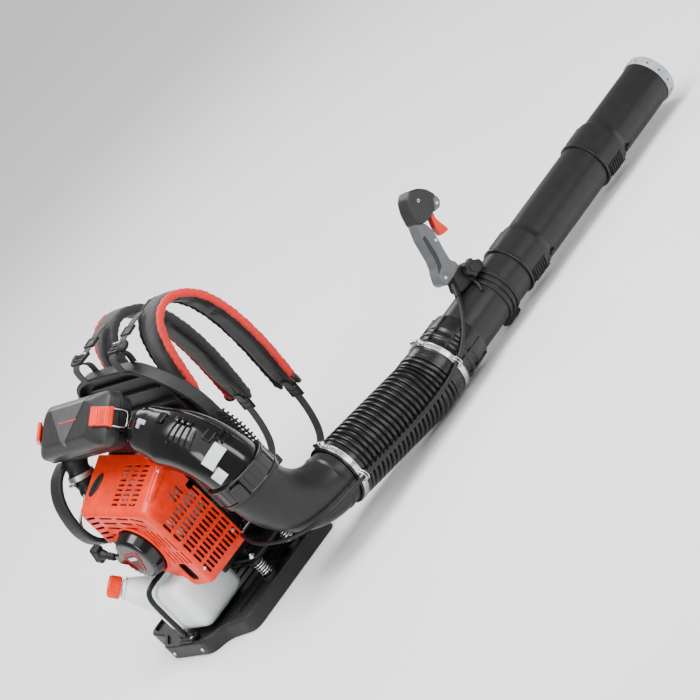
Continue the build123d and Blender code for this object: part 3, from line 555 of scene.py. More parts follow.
def hose_centre():
    """Hose's middle line: straight out of the elbow, then levelling out along the tube."""
    tilt = radians(90 - ELBOW_TURN)
    mouth_y = OUTLET_Y + ELBOW_BEND * (1 - sin(tilt)) + 22.2 * cos(tilt)
    mouth_z = OUTLET_Z - ELBOW_BEND * cos(tilt) - 22.2 * sin(tilt)
    level = HOSE_END - 26
    reach, drop = level - mouth_y, mouth_z - TUBE_Z
    bend = (reach * tan(tilt) - drop) / (sin(tilt) * tan(tilt) - 1 + cos(tilt))
    run = (reach - bend * sin(tilt)) / cos(tilt)
    total = run + bend * tilt + 26

    def at(s):
        if s < run:
            return Vector((TUBE_X, mouth_y + s * cos(tilt), mouth_z - s * sin(tilt))), tilt
        turn = min(1, (s - run) / (bend * tilt))
        left = tilt * (1 - turn)
        y = level - bend * sin(left) + max(0, s - run - bend * tilt)
        return Vector((TUBE_X, y, TUBE_Z + bend * (1 - cos(left)))), left

    return at, total


def hose_radius(s, total):
    """Rounded ribs between two plain ends."""
    first, last = 25, total - 8
    if s < first or s > last:
        return HOSE_R - 1.2
    phase = (s - first) / (last - first) * HOSE_RIBS % 1
    wave = 0.5 - 0.5 * cos(2 * pi * phase)
    rise = min(1, wave * 1.55) ** 0.8
    return HOSE_GROOVE_R + (HOSE_R - HOSE_GROOVE_R) * rise


def hose_part(name, low, high):
    """Length of ribbed hose between two shares of its whole length."""
    at, total = hose_centre()
    count = int((high - low) * total / 0.95)
    lengths = [total * (low + (high - low) * i / count) for i in range(count + 1)]

    def loop(s, radius):
        centre, tilt = at(s)
        up = Vector((0, sin(tilt), cos(tilt)))
        turns = round_steps(112)
        return [centre + X_AXIS * radius * cos(t) + up * radius * sin(t) for t in turns]

    outer = [loop(s, hose_radius(s, total)) for s in lengths]
    inner = [loop(s, SPIGOT_BORE) for s in lengths[::-6]] + [loop(lengths[0], SPIGOT_BORE)]
    obj = skin(outer + inner, closed=True, sharp=60)
    piece(obj, name, None, "hose_rubber", ["flex_hose"], crisp=False)
    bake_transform(obj)


def build_hose():
    _, total = hose_centre()
    split = (25 + (total - 33) * 11 / HOSE_RIBS) / total
    hose_part("hose_rear", 0, split)
    hose_part("hose_front", split, 1)
    profile = [(CUFF_R, HOSE_END + 0.2), (CUFF_R, 456), (CUFF_R + 0.8, 456.5), (CUFF_R + 0.8, 472),
               (CUFF_R, 473), (CUFF_R - 1, 477), (CUFF_R - 3.4, 480), (CUFF_R - 3.4, 487),
               (CUFF_R - 0.6, 490), (CUFF_R - 0.6, 496), (CUFF_R - 3.6, 499), (CUFF_R - 3.6, 505),
               (CUFF_R - 1.4, 508), (CUFF_R - 1.4, 516), (CUFF_R - 2.2, 530), (CUFF_R - 3.0, 540),
               (PIPE_R + 0.15, 540), (PIPE_R + 0.15, 456), (SPIGOT_BORE - 3, 456),
               (SPIGOT_BORE - 3, HOSE_END - 24), (SPIGOT_BORE - 0.2, HOSE_END - 24),
               (SPIGOT_BORE - 0.2, HOSE_END + 0.2)]
    cuff = turned(softened(profile, 1.4, 3), *TUBE_AXIS, 128)
    ribs = [curved_pad(476, 536, CUFF_R - 2.8, 2.6, 1.5, 18 + 40 * i, 0.8) for i in range(9)]
    piece(joined([cuff] + ribs), "hose_cuff_shell", "cuff", "hose_rubber", ["hose_cuff"])


def band_clamp(centre, along, radius, width, name, body, replaces):
    """Steel band with its worm screw housing, screw head, tail and slots."""
    centre, along = Vector(centre), Vector(along).normalized()
    half = width / 2
    ring = turned([(radius, -half), (radius + 1.1, -half), (radius + 1.1, half), (radius, half)], centre,
                  along, 128)
    lips = [turned(softened([(radius + 0.9, t - 0.7), (radius + 1.9, t - 0.7), (radius + 1.9, t + 0.7),
                             (radius + 0.9, t + 0.7)], 0.4, 2), centre, along, 128)
            for t in (-half + 0.7, half - 0.7)]
    up = X_AXIS.cross(along)
    top = centre + up * (radius + 5.4)
    housing = rod(top - X_AXIS * 9, top + X_AXIS * 9, 4.6)
    screw = rod(top - X_AXIS * 13, top + X_AXIS * 12.5, 3.0)
    head = turned(softened([(0, 12), (4.4, 12), (4.4, 16), (0, 16)], 0.5, 2), top, (1, 0, 0), 6)
    saddle = bar((-10, -half * 0.9, -2), (10, half * 0.9, 2), 0.8)
    set_on(saddle, centre + up * (radius + 2), X_AXIS, along, up)
    slots = []
    for i in range(16):
        turn = radians(24 + 5.2 * i)
        outward = up * cos(turn) + X_AXIS * sin(turn)
        slot = bar((-1.1, -half * 0.55, -0.5), (1.1, half * 0.55, 0.5), 0.3, 1)
        slots.append(set_on(slot, centre + outward * (radius + 1.2), along.cross(outward), along, outward))
    return piece(joined([ring, housing, screw, head, saddle] + lips + slots), name, body, "steel", replaces)


def build_tube():
    build_hose()
    tilt = radians(90 - ELBOW_TURN)
    along = Vector((0, cos(tilt), -sin(tilt)))
    at, _ = hose_centre()
    start, _ = at(0)
    band_clamp(start + along * 9, along, HOSE_R - 1.0, 11, "clamp_rear", "elbow", ["hose_clamp_rear"])
    band_clamp((TUBE_X, FRONT_CLAMP_Y, TUBE_Z), (0, 1, 0), CUFF_R + 0.6, 11, "clamp_front", "cuff",
               ["hose_clamp_front"])
    round_tube([(PIPE_R, PIPE_START), (PIPE_R, JOINT_1), (PIPE_R - 2.5, JOINT_1), (PIPE_R - 2.5, PIPE_START)],
               "swivel_tube", "swivel_pipe", "tube_black", ["swivel_pipe"])
    socket_tube(JOINT_1 - 30, JOINT_2, MIDDLE_R, PIPE_R - 2.5, PIPE_R, "middle_tube", "middle_pipe",
                ["middle_pipe"])
    socket_tube(JOINT_2 - 30, TUBE_END - 3, NOZZLE_R, NOZZLE_R - 2.7, MIDDLE_R, "nozzle_tube", "nozzle_pipe",
                ["nozzle_pipe"])
    build_nozzle_ring()


def build_nozzle_ring():
    outer = NOZZLE_R + 2.4
    profile = [(NOZZLE_R + 0.2, TUBE_END - 22), (outer, TUBE_END - 22), (outer, TUBE_END - 2.5),
               (outer - 2.2, TUBE_END), (NOZZLE_R - 2.7, TUBE_END), (NOZZLE_R - 2.7, TUBE_END - 2.9),
               (NOZZLE_R + 0.2, TUBE_END - 2.9)]
    ring = turned(softened(profile, 0.8, 3), *TUBE_AXIS, 128)
    rivets = []
    for i in range(12):
        turn = radians(15 + 30 * i)
        outward = Vector((sin(turn), 0, cos(turn)))
        foot = Vector((TUBE_X, TUBE_END - 14, TUBE_Z)) + outward * (outer - 0.4)
        rivets.append(rod(foot, foot + outward * 0.9, 2.2, 1.9, 20, 0.4))
    piece(ring, "nozzle_wear_ring", "nozzle_pipe", "nozzle_grey", ["nozzle_ring"])
    piece(joined(rivets), "nozzle_rivets", "nozzle_pipe", "rubber")


# ---- handle ----
def screw_head(place, along, radius=3.4, rise=1.4):
    """Pan head with a hexagonal socket."""
    profile = [(0, -1), (radius, -1), (radius, rise * 0.5), (radius - 0.8, rise), (radius * 0.55, rise),
               (radius * 0.5, rise - 0.9), (0, rise - 0.9)]
    return turned(profile, place, along, 24, sharp=28)


def grip_shape(outline, half, round_by, corner=3.0):
    return prism(softened(outline, corner, 4), "x", TUBE_X - half, TUBE_X + half, round_by, 5)


def build_handle():
    foot = TUBE_Z - PIPE_R
    bands = []
    for y in (628, 640.5, 652):
        profile = [(PIPE_R + 0.1, y), (PIPE_R + 2.8, y + 0.6), (PIPE_R + 2.8, y + 7.6),
                   (PIPE_R + 0.1, y + 8.2)]
        bands.append(turned(softened(profile, 1.0, 3), *TUBE_AXIS, 128))
    saddle = prism(softened([(592, 121), (602, 114.5), (668, 110), (674, 127), (655, 141), (630, 150),
                             (608, 152)], 6, 4), "x", TUBE_X - 15, TUBE_X + 15, 3.5, 4)
    cheeks = [rod((TUBE_X + side * 15, KNOB_Y, KNOB_Z), (TUBE_X + side * 17.5, KNOB_Y, KNOB_Z), 13)
              for side in (-1, 1)]
    lower = prism(softened([(624, foot - 12), (665, foot - 12), (665, foot + 2), (624, foot + 2)], 4, 3), "x",
                  TUBE_X - 9, TUBE_X + 9, 2)
    clip = tube([(TUBE_X + 40, 615, TUBE_Z + 34), (TUBE_X + 33, 622, TUBE_Z + 43),
                 (TUBE_X + 20, 628, TUBE_Z + 52)], 3)
    body = joined(bands + [saddle, lower, clip] + cheeks)
    piece(body, "bracket_shell", "handle", "rubber", ["handle_bracket"])
    screws = [screw_head((TUBE_X, 644.5, foot - 12), (0, 0, -1), 4.2, 2)]

    star = []
    for turn in round_steps(40):
        radius = 15.8 + 2.2 * cos(6 * turn)
        star.append((KNOB_Y + radius * cos(turn), KNOB_Z + radius * sin(turn)))
    head = prism(star, "x", TUBE_X + 18, TUBE_X + 31, 2.4, 4)
    hub = turned(softened([(0, 30), (8, 30), (8, 33), (0, 33)], 1, 3), (TUBE_X, KNOB_Y, KNOB_Z), (1, 0, 0),
                 32)
    bolt = rod((TUBE_X - 14, KNOB_Y, KNOB_Z), (TUBE_X + 19, KNOB_Y, KNOB_Z), 3)
    piece(joined([head, hub, bolt]), "star_knob", "knob", "rubber", ["bracket_knob"])

    grip = [(584, 147), (579, 158), (586, 171), (595, 181), (602, 196), (607, 216), (613, 238), (625, 263),
            (640, 251), (642, 232), (637, 211), (631, 193), (626, 172), (632, 160), (629, 151), (610, 148)]
    body = joined([grip_shape(grip, GRIP_HALF, 7.5),
                   grip_shape([(583, 148), (580, 158), (590, 169), (602, 165), (604, 150)], 16.5, 4)])
    piece(body, "grip_shell", "handle", "grip_grey", ["handle_grip"])
    rear = [(587, 172), (596, 182), (603, 197), (608, 217), (614, 238), (622, 238), (613, 198), (604, 178)]
    pad = grip_shape(rear, GRIP_HALF + 0.6, 6)
    head_outline = [(624, 262), (633, 288), (645, 305), (659, 312), (676, 304), (689, 289), (695, 273),
                    (691, 255), (683, 249.5), (667, 252), (655, 250), (640, 251.5)]
    shell = carved(grip_shape(head_outline, 19, 8.5, 5),
                   rod((TUBE_X - 30, SWITCH_Y, SWITCH_Z), (TUBE_X - 16, SWITCH_Y, SWITCH_Z), 8.4))
    piece(shell, "head_shell", "handle", "cleaner_grey", ["handle_head"])
    piece(pad, "grip_pad", "handle", "cleaner_grey")
    cheek = grip_shape([(668, 251), (684, 249), (693, 257), (694, 268), (684, 268), (676, 258)], 19.6, 5)
    piece(cheek, "head_cheek", "handle", "grip_grey")
    for y, z, x in ((592, 159, 16.6), (632, 216, 15.0), (660, 288, 18.6), (684, 258, 19.6)):
        screws.append(screw_head((TUBE_X + x - 0.4, y, z), (1, 0, 0)))
        screws.append(screw_head((TUBE_X - x + 0.4, y, z), (-1, 0, 0)))
    piece(joined(screws), "handle_screw_heads", "handle", "steel", ["handle_screws"])
    lever = prism(softened([(664, 250), (673, 250), (668, 239), (669, 226), (672, 212), (671, 205.5),
                            (652, 210), (654, 228), (659, 240)], 2.5, 3), "x", TUBE_X - 7, TUBE_X + 7, 2.4, 3)
    piece(lever, "trigger_lever", "trigger", "orange_plastic", ["trigger"])
    disc = turned(softened([(0, -21), (7.6, -21), (7.9, -16.6), (0, -16.6)], 0.8, 3),
                  (TUBE_X, SWITCH_Y, SWITCH_Z), (1, 0, 0), 48)
    toggle = prism(softened([(660.8, 270), (667.2, 270), (667.2, 286), (660.8, 286)], 2, 3), "x", TUBE_X - 27,
                   TUBE_X - 20, 1.6, 3)
    piece(joined([disc, toggle]), "stop_toggle", "stop_switch", "orange_plastic", ["stop_switch"])


# ---- throttle cable ----
CABLE_ROUTE = [(152, 34, 118), (188, 18, 113), (232, 10, 109), (276, 8, 107), (318, 20, 101), (350, 50, 93),
               (366, 94, 87), (373, 142, 84), (375, 196, 79), (374, 250, 70), (375, 304, 64), (373, 360, 59),
               (373, 414, 58), (371, 462, 64), (367, 506, 80), (355, 544, 102), (338, 573, 121),
               (322, 592, 140)]
CABLE_PARTS = [("cable_engine", 150, "machine", "elbow", (190, 18, 113), (345, 44, 94)),
               ("cable_elbow", 315, "elbow", "hose", (374, 190, 80), (374, 300, 65)),
               ("cable_hose", 445, "hose", "cuff", (374, 325, 62), (373, 425, 58)),
               ("cable_cuff", 548, "cuff", "swivel_pipe", (370, 460, 66), (352, 545, 104)),
               ("cable_handle", 999, "swivel_pipe", "handle", (352, 550, 106), (332, 580, 128))]


def build_cable():
    """Cable cut into lengths where one pair of bodies hands over to the next."""
    line = smooth_line(CABLE_ROUTE, 12)
    begun = 0
    for name, until, a, b, start, end in CABLE_PARTS:
        stop = begun + 1
        while stop < len(line) - 1 and (line[stop].y < until or stop < 40):
            stop += 1
        obj = tube(line[begun:stop + 1], CABLE_R, 20)
        piece(obj, name, None, "rubber", ["throttle_cable"], crisp=False)
        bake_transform(obj)
        begun = stop
    tilt = radians(90 - ELBOW_TURN)
    along = Vector((0, cos(tilt), -sin(tilt)))
    at, _ = hose_centre()
    centre = at(0)[0] + along * 9
    for name, body, near in (("cable_clip_rear", "elbow", 178), ("cable_clip_front", "cuff", FRONT_CLAMP_Y)):
        place = min(line, key=lambda p: abs(p.y - near))
        axis = along if body == "elbow" else Y_AXIS
        middle = centre if body == "elbow" else Vector((TUBE_X, near, TUBE_Z))
        out = place - middle
        out = (out - axis * out.dot(axis)).normalized()
        side = axis.cross(out)
        reach = (place - middle).dot(out)
        loop = [middle + out * (HOSE_R - 0.5) + side * 11, middle + out * (HOSE_R + 3) + side * 10,
                middle + out * (reach + 5) + side * 6, middle + out * (reach + 6.5),
                middle + out * (reach + 5) - side * 6, middle + out * (HOSE_R + 3) - side * 10,
                middle + out * (HOSE_R - 0.5) - side * 11]
        wires = [tube([p + axis * t for p in smooth_line(loop, 6)], 1.1, 12) for t in (-2.6, 2.6)]
        piece(joined(wires), name, body, "steel")
    ferrule = tube(line[-7:], lambda share: 5.2 - 0.6 * share, 24)
    piece(ferrule, "cable_ferrule", "handle", "rubber", crisp=False)


# ---- fan case and elbow ----
def scroll_outline(grow=0.0):
    """Spiral wall about the crankshaft with its throat towards the duct."""
    points = []
    for step in range(29):
        turn = radians(-45 - step * 8.25)
        radius = 122 + 42 * (step / 28) ** 1.3 + grow
        points.append((CRANK_X + radius * cos(turn), CRANK_Z + radius * sin(turn)))
    return points + [(THROAT[0] + 6, 384 + grow), (THROAT[0] + 6, 320), (160 + grow, 250), (156 + grow, 180)]


def duct_line(share):
    """Place, direction and radius along the duct, from its outlet to the fan case."""
    low, turn = OUTLET_Z, radians(DUCT_TURN)
    straight, arc = DUCT_ARC_Z - low, DUCT_ARC_R * turn
    end = Vector((DUCT_ARC_X + DUCT_ARC_R * cos(turn), OUTLET_Y, DUCT_ARC_Z + DUCT_ARC_R * sin(turn)))
    shoulder = (Vector(SHOULDER) - end).length
    neck = (Vector(THROAT) - Vector(SHOULDER)).length
    s = share * (straight + arc + shoulder + neck)
    if s < straight:
        return Vector((TUBE_X, OUTLET_Y, low + s)), Z_AXIS, DUCT_R
    if s < straight + arc:
        a = (s - straight) / DUCT_ARC_R
        place = Vector((DUCT_ARC_X + DUCT_ARC_R * cos(a), OUTLET_Y, DUCT_ARC_Z + DUCT_ARC_R * sin(a)))
        return place, Vector((-sin(a), 0, cos(a))), DUCT_R
    t = (s - straight - arc) / shoulder
    if t < 1:
        return end.lerp(Vector(SHOULDER), t), None, DUCT_R + (SHOULDER_R - DUCT_R) * t
    t = (s - straight - arc - shoulder) / neck
    return Vector(SHOULDER).lerp(Vector(THROAT), t), None, SHOULDER_R + (THROAT_R - SHOULDER_R) * t


def duct_skin(shrink, begin=0.0):
    """Round duct as one smooth skin, its direction eased into the neck."""
    steps = 60
    places = [duct_line(begin + (1 - begin) * i / steps) for i in range(steps + 1)]
    across = Y_AXIS
    rings = []
    for i, (place, _, radius) in enumerate(places):
        ahead = places[min(i + 4, steps)][0] - places[max(i - 4, 0)][0]
        if i < 3:
            ahead = Z_AXIS
        ahead = ahead.normalized()
        side = across.cross(ahead).normalized()
        up = ahead.cross(side)
        turns = round_steps(96)
        rings.append([place + (side * cos(a) + up * sin(a)) * (radius - shrink) for a in turns])
    return skin(rings, sharp=50)


def case_flange():
    """Bolted seam round the scroll, with a boss and a screw every so often."""
    outline = scroll_outline()[:29]
    rail = [(x, CASE_SPLIT, z) for x, z in outline]
    flange = band(rail, (0, 1, 0), 6, 7, 0.15)
    bosses, screws = [], []
    for i in range(1, 29, 5):
        x, z = outline[i]
        outward = Vector((x - CRANK_X, 0, z - CRANK_Z)).normalized()
        place = Vector((x, 0, z)) + outward * 4
        bosses.append(rod(place + Y_AXIS * 58, place + Y_AXIS * 82, 6.5))
        screws.append(screw_head(place + Y_AXIS * 58, (0, -1, 0)))
    return flange, bosses, screws


def build_fan_case():
    body = prism(scroll_outline(), "y", CASE_REAR, CASE_FRONT, 9, 4)
    shell = fused([body, duct_skin(0)], 2.6, 10)
    hollow = prism(scroll_outline(-4), "y", CASE_REAR + 4, CASE_FRONT - 4, 0)
    inlet = rod((CRANK_X, CASE_FRONT - 8, CRANK_Z), (CRANK_X, CASE_FRONT + 9, CRANK_Z), 78)
    bore = rod((TUBE_X, OUTLET_Y, OUTLET_Z - 4), (TUBE_X, OUTLET_Y, OUTLET_Z + 30), DUCT_R - 3)
    shaft_hole = rod((CRANK_X, CASE_REAR - 5, CRANK_Z), (CRANK_X, CASE_REAR + 6, CRANK_Z), 14)
    carved(shell, hollow)
    carved(shell, inlet, bore, shaft_hole)
    flange, bosses, screws = case_flange()
    lip = turned(softened([(77, 105), (84, 105), (84, 110.5), (80, 112), (77, 112)], 1, 3),
                 (CRANK_X, 0, CRANK_Z), (0, 1, 0), 96)
    piece(joined([shell, flange, lip] + bosses), "fan_case", "machine", "gloss_black",
          ["volute_rear", "volute_front"])
    build_collar()
    build_duct_fittings()
    piece(inlet_grille(), "inlet_grille", "machine", "frame_plastic")
    screws += [screw_head((CRANK_X + 100 * cos(a), CASE_FRONT - 0.5, CRANK_Z + 100 * sin(a)), (0, 1, 0))
               for a in (radians(d) for d in (110, 150, 190, 230, 270, 305))]
    screws += [screw_head((COVER_X1 + 0.2, y, z), (1, 0, 0)) for y, z in ((30, 136), (-60, 136))]
    piece(joined(screws), "case_screw_heads", "machine", "steel", ["case_screws"])


def inlet_grille():
    """Rings and spokes that keep leaves out of the fan."""
    middle = Vector((CRANK_X, CASE_FRONT - 3, CRANK_Z))
    rings = [turned(softened([(r, 0), (r + 2.2, 0), (r + 2.2, 3), (r, 3)], 0.6, 2), middle, (0, 1, 0), 72)
             for r in range(22, 76, 9)]
    spokes = []
    for i in range(8):
        a = radians(45 * i + 12)
        out = Vector((cos(a), 0, sin(a)))
        spokes.append(rod(middle + out * 14 + Y_AXIS * 1.5, middle + out * 79 + Y_AXIS * 1.5,
                          1.6))
    hub = turned(softened([(0, 0), (17, 0), (17, 4), (0, 5)], 1.5, 3), middle, (0, 1, 0), 48)
    return joined(rings + spokes + [hub])


def build_collar():
    """Ribbed sleeve over the joint where the elbow turns in the duct."""
    z = OUTLET_Z
    profile = [(DUCT_R - 3, z + 1), (62, z + 1), (62, z + 4), (60.2, z + 5), (60.2, z + 34), (62, z + 35.5),
               (62, z + 39), (59, z + 40), (DUCT_R - 1, z + 40)]
    sleeve = turned(softened(profile, 0.9, 3), (TUBE_X, OUTLET_Y, 0), (0, 0, 1), 112)
    parts = [sleeve]
    for a in round_steps(28):
        out = Vector((cos(a), sin(a), 0))
        foot = Vector((TUBE_X, OUTLET_Y, z + 6)) + out * 60
        parts.append(rod(foot, foot + Z_AXIS * 27, 1.2, None, 12))
    bolt_side = Vector((TUBE_X + 44, OUTLET_Y - 46, z + 20))
    ear = prism(softened([(-9, -12), (9, -12), (9, 12), (-9, 12)], 3, 3), "z", -14, 14, 1.5)
    moved(ear, Matrix.Translation(bolt_side) @ Matrix.Rotation(radians(-45), 4, "Z"))
    piece(joined(parts + [ear]), "duct_collar", "machine", "gloss_black")


def on_duct(share, around, out=0.0):
    """Point on the duct's wall and the wall's outward, lengthwise and sideways directions."""
    place, _, radius = duct_line(share)
    ahead = (duct_line(min(share + 0.02, 1))[0] - duct_line(max(share - 0.02, 0))[0]).normalized()
    side = Y_AXIS.cross(ahead).normalized()
    a = radians(around)
    outward = side * cos(a) - Y_AXIS * sin(a)
    return place + outward * (radius + out), outward, ahead, outward.cross(ahead)


def duct_block(share, around, size, lift=0.0, round_by=1.2):
    """Rounded block on the duct: its length along the duct, its width round it and its height out."""
    place, outward, ahead, across = on_duct(share, around, lift)
    length, width, height = size
    obj = bar((-length / 2, -width / 2, -height / 2), (length / 2, width / 2, height / 2), round_by)
    return set_on(obj, place, ahead, across, outward)


def build_duct_fittings():
    """Seam, clips, ribs and blank plates along the duct."""
    seam = []
    for around in (-28, 152):
        rail = [on_duct(0.16 + 0.6 * i / 40, around, 0.6)[0] for i in range(41)]
        seam.append(tube(rail, 1.9, 12))
    clips = [duct_block(share, 0, (16, 22, 5), 1.4) for share in (0.30, 0.55)]
    clips += [duct_block(share, -14, (5, 26, 7), 1.6) for share in (0.24, 0.265)]
    ribs = []
    for i, share in enumerate((0.36, 0.385, 0.41, 0.435, 0.46)):
        rib_line = [on_duct(share + 0.008 * (i - 2) * k / 8, 2 + 5.2 * k, 0.9 - 0.12 * k)[0]
                    for k in range(9)]
        ribs.append(tube(rib_line, 1.7, 10))
    knuckles = [duct_block(0.40 + 0.03 * i, -4, (9, 12, 9), 2, 2.5) for i in range(3)]
    piece(joined(seam + clips + ribs + knuckles), "duct_fittings", "machine", "gloss_black")
    grey = [duct_block(0.72, 18, (20, 9, 5), 1.4, 1.6), duct_block(0.735, 24, (7, 16, 6), 1.8, 1.6)]
    piece(joined(grey), "duct_clip", "machine", "nozzle_grey")
    plates = [(0.235, 28, (24, 44, 1.2)), (0.165, 52, (21, 24, 1.2))]
    sheets = []
    for share, around, (length, width, thick) in plates:
        steps = 10
        half = degrees(width / 2 / DUCT_R)
        rows = []
        for k in range(steps + 1):
            angle = around - half + 2 * half * k / steps
            place, outward, ahead, _ = on_duct(share, angle, 0.3)
            low, high = place - ahead * length / 2, place + ahead * length / 2
            rows.append([low, high, high + outward * thick, low + outward * thick])
        sheets.append(skin(rows))
    piece(joined(sheets), "blank_plates", "machine", "tube_black", finish="blank_plate")


def build_elbow():
    turn = radians(ELBOW_TURN)
    rings = []
    steps = 64
    seat = [(0.0, ELBOW_R), (2.5, ELBOW_R + 1.6), (5, ELBOW_R + 1.6), (6.5, ELBOW_R), (21, ELBOW_R),
            (22, ELBOW_R - 1), (22, SPIGOT_BORE - 0.3), (45, SPIGOT_BORE - 0.3), (46, SPIGOT_BORE - 1.2),
            (46, SPIGOT_BORE - 3)]

    def loop(a, radius, past=0.0):
        out = Vector((0, -cos(a), -sin(a)))
        along = Vector((0, sin(a), -cos(a)))
        centre = Vector((TUBE_X, OUTLET_Y + ELBOW_BEND, OUTLET_Z)) + out * ELBOW_BEND + along * past
        turns = round_steps(112)
        return [centre + out * radius * cos(t) + X_AXIS * radius * sin(t) for t in turns]

    for past, radius in ((-13, DUCT_R - 3.1), (-0.4, DUCT_R - 3.1), (-0.4, ELBOW_R + 4), (4, ELBOW_R + 4.6),
                         (8, ELBOW_R + 4), (8.5, ELBOW_R + 0.2)):
        rings.append(loop(0, radius, past))
    for i in range(steps + 1):
        a = turn * i / steps
        if a * ELBOW_BEND > 10:
            rings.append(loop(a, ELBOW_R))
    rings += [loop(turn, radius, past) for past, radius in seat]
    for i in range(steps // 4, -1, -1):
        rings.append(loop(turn * i * 4 / steps, ELBOW_R - 4))
    rings.append(loop(0, DUCT_R - 7, -13))
    obj = skin(rings, closed=True, sharp=40)
    lug = bar((TUBE_X - 8, OUTLET_Y + 50, OUTLET_Z - 22), (TUBE_X + 8, OUTLET_Y + 72, OUTLET_Z - 4), 2.5, 3)
    piece(joined([obj, lug]), "elbow_shell", "elbow", "tube_black", ["elbow"])


# ---- engine cover ----
def roof_height(x, y):
    return 282 + 0.172 * (COVER_X1 - x) + 0.37 * (y - COVER_Y0)


def roof_block(inset, low, front):
    """Body under the sloping roof with soft shoulders, drawn in from its walls by an inset."""
    x0, x1, y0 = COVER_X0 + inset, COVER_X1 - inset, COVER_Y0 + inset
    edge = 9 - inset
    rings = [(y0 + edge * (1 - cos(radians(15 * i))), edge * (1 - sin(radians(15 * i))))
             for i in range(7)] + [(y0 + (front - y0) * share, 0) for share in (0.3, 0.6, 1)]
    loops = []
    for y, drawn in rings:
        outline = [(x0 + drawn, low), (x1 - drawn, low)]
        outline += [(x, roof_height(x, y) - inset - drawn) for x in (x1 - drawn, x0 + drawn)]
        loops.append([(x, y, z) for x, z in softened(outline, [0.5, 0.5, 26 - inset, 17 - inset], 10)])
    return skin(loops, sharp=60)


def slot_cut(axis, middle, length, width, tilt=0.0, depth=16):
    """Round-cornered cutter; its length runs along X, or along Z in a side wall, before the tilt."""
    corner = softened([(-length / 2, -width / 2), (length / 2, -width / 2), (length / 2, width / 2),
                       (-length / 2, width / 2)], min(width, length) * 0.32, 2)
    turn = radians(tilt)
    outline = [(a * cos(turn) - b * sin(turn), a * sin(turn) + b * cos(turn)) for a, b in corner]
    x, y, z = middle
    if axis == "y":
        return prism([(x + a, z + b) for a, b in outline], "y", y - depth / 2, y + depth / 2, 0)
    if axis == "x":
        return prism([(y + b, z + a) for a, b in outline], "x", x - depth / 2, x + depth / 2, 0)
    return prism([(x + a, y + b) for a, b in outline], "z", z - depth / 2, z + depth / 2, 0)


def side_slots():
    cuts = []
    for column in range(10):
        y = -55 + column * 9.7
        for row in range(6):
            middle = 132 + row * 25.5
            if middle + 13 < roof_height(COVER_X1, y) - 30 and not (22 < y < 44 and 236 < middle < 266):
                cuts.append(slot_cut("x", (COVER_X1, y, middle), 19.5, 5.4))
    return cuts


def roof_slots():
    cuts = []
    for column in range(9):
        y = -50 + column * 8.7
        for row in range(3):
            x = 50 + row * 27 + column * 0.8
            cuts.append(slot_cut("z", (x, y, roof_height(x, y)), 19, 4.4, depth=22))
    return cuts


def rear_slots():
    cuts = []
    rows = [(-31, 299 - 12.4 * i, 32, 5.4, 0) for i in range(6)]
    rows += [(16, 292 - 12.6 * i, 40, 4.8, -10) for i in range(3)] + [(-7, 253, 14, 4.8, -8)]
    rows += [(66, 283 - 12.4 * i, 36, 4.8, -12) for i in range(3)]
    rows += [(108, 273, 34, 4.8, -22), (105, 260, 26, 4.8, -26)]
    rows += [(94 + 11.5 * i, 226 + 3.5 * i - 2 * i * i, 42 - 2 * i, 4.8, 90) for i in range(5)]
    rows += [(96 + 11.5 * i, 180 - 2 * i, 30, 4.8, 90) for i in range(5)]
    for x, z, length, width, tilt in rows:
        if hypot(x - CRANK_X, z - CRANK_Z) > 54:
            cuts.append(slot_cut("y", (x, COVER_Y0, z), length, width, tilt))
    return cuts


def build_engine_cover():
    shell = roof_block(0, COVER_Z0, COVER_Y1)
    carved(shell, roof_block(2.6, COVER_Z0 - 20, COVER_Y1 + 30))
    left_low = [(COVER_X0 - 4, 236), (10, 236), (19, 190), (19, 168), (92, 106), (92, 90), (COVER_X0 - 4, 90)]
    carved(shell, prism(left_low, "y", COVER_Y0 - 9, COVER_Y0 + 14, 0))
    carved(shell, prism([(-52, 60), (60, 60), (60, 300), (-52, 300)], "x", COVER_X0 - 9, COVER_X0 + 8, 0))
    carved(shell, prism([(COVER_Y0 - 9, 90), (60, 90), (60, 200), (COVER_Y0 - 9, 200)], "x", COVER_X0 - 9, 19,
                        0))
    carved(shell, rod((CRANK_X, -90, CRANK_Z), (CRANK_X, -40, CRANK_Z), 52, segments=96))
    carved(shell, slot_cut("x", (COVER_X1, 34, 250), 13, 16), slot_cut("y", (106, COVER_Y0, 140), 42, 28, 90))
    carved(shell, *side_slots(), *rear_slots())
    carved(shell, *roof_slots())
    ridge = [(COVER_X1 - 9 + 3 * t, -40 + 74 * t, roof_height(COVER_X1 - 9, -40 + 74 * t) - 9) for t in
             [i / 12 for i in range(13)]]
    rib = tube(ridge, lambda share: 3.2 + 4.8 * sin(pi * min(1, 0.15 + share * 0.85)) ** 0.7, 24)
    crown = turned(softened([(52, -69), (56, -69), (56, -64), (52, -64)], 1.4, 3), *CRANK_AXIS, 96)
    carved(crown, prism([(-60, 120), (-60, 236), (12, 236), (22, 190), (22, 166), (70, 120)], "y", -80, -50,
                        0))
    piece(joined([shell, rib, crown]), "cover_shell", "machine", "orange_plastic", ["engine_cover"])
    screw = screw_head((COVER_X1 - 4, 12, roof_height(COVER_X1, 12) - 2), (0.6, -0.25, 0.75), 3.2)
    piece(screw, "cover_screw", "machine", "steel")
    plug = []
    for radius, rise in ((17, 0.2), (17, 1.6), (14.5, 2.6), (12.5, 1.8), (0.01, 1.8)):
        ring = []
        for a in round_steps(40):
            x = -24 + 0.62 * radius * cos(a) + 0.5 * radius * sin(a)
            y = -16 + 1.25 * radius * sin(a)
            ring.append((x, y, roof_height(x, y) + rise))
        plug.append(ring)
    base = [(x, y, z - 4) for x, y, z in plug[0]]
    piece(skin([base] + plug), "cover_plug", "machine", "rubber")


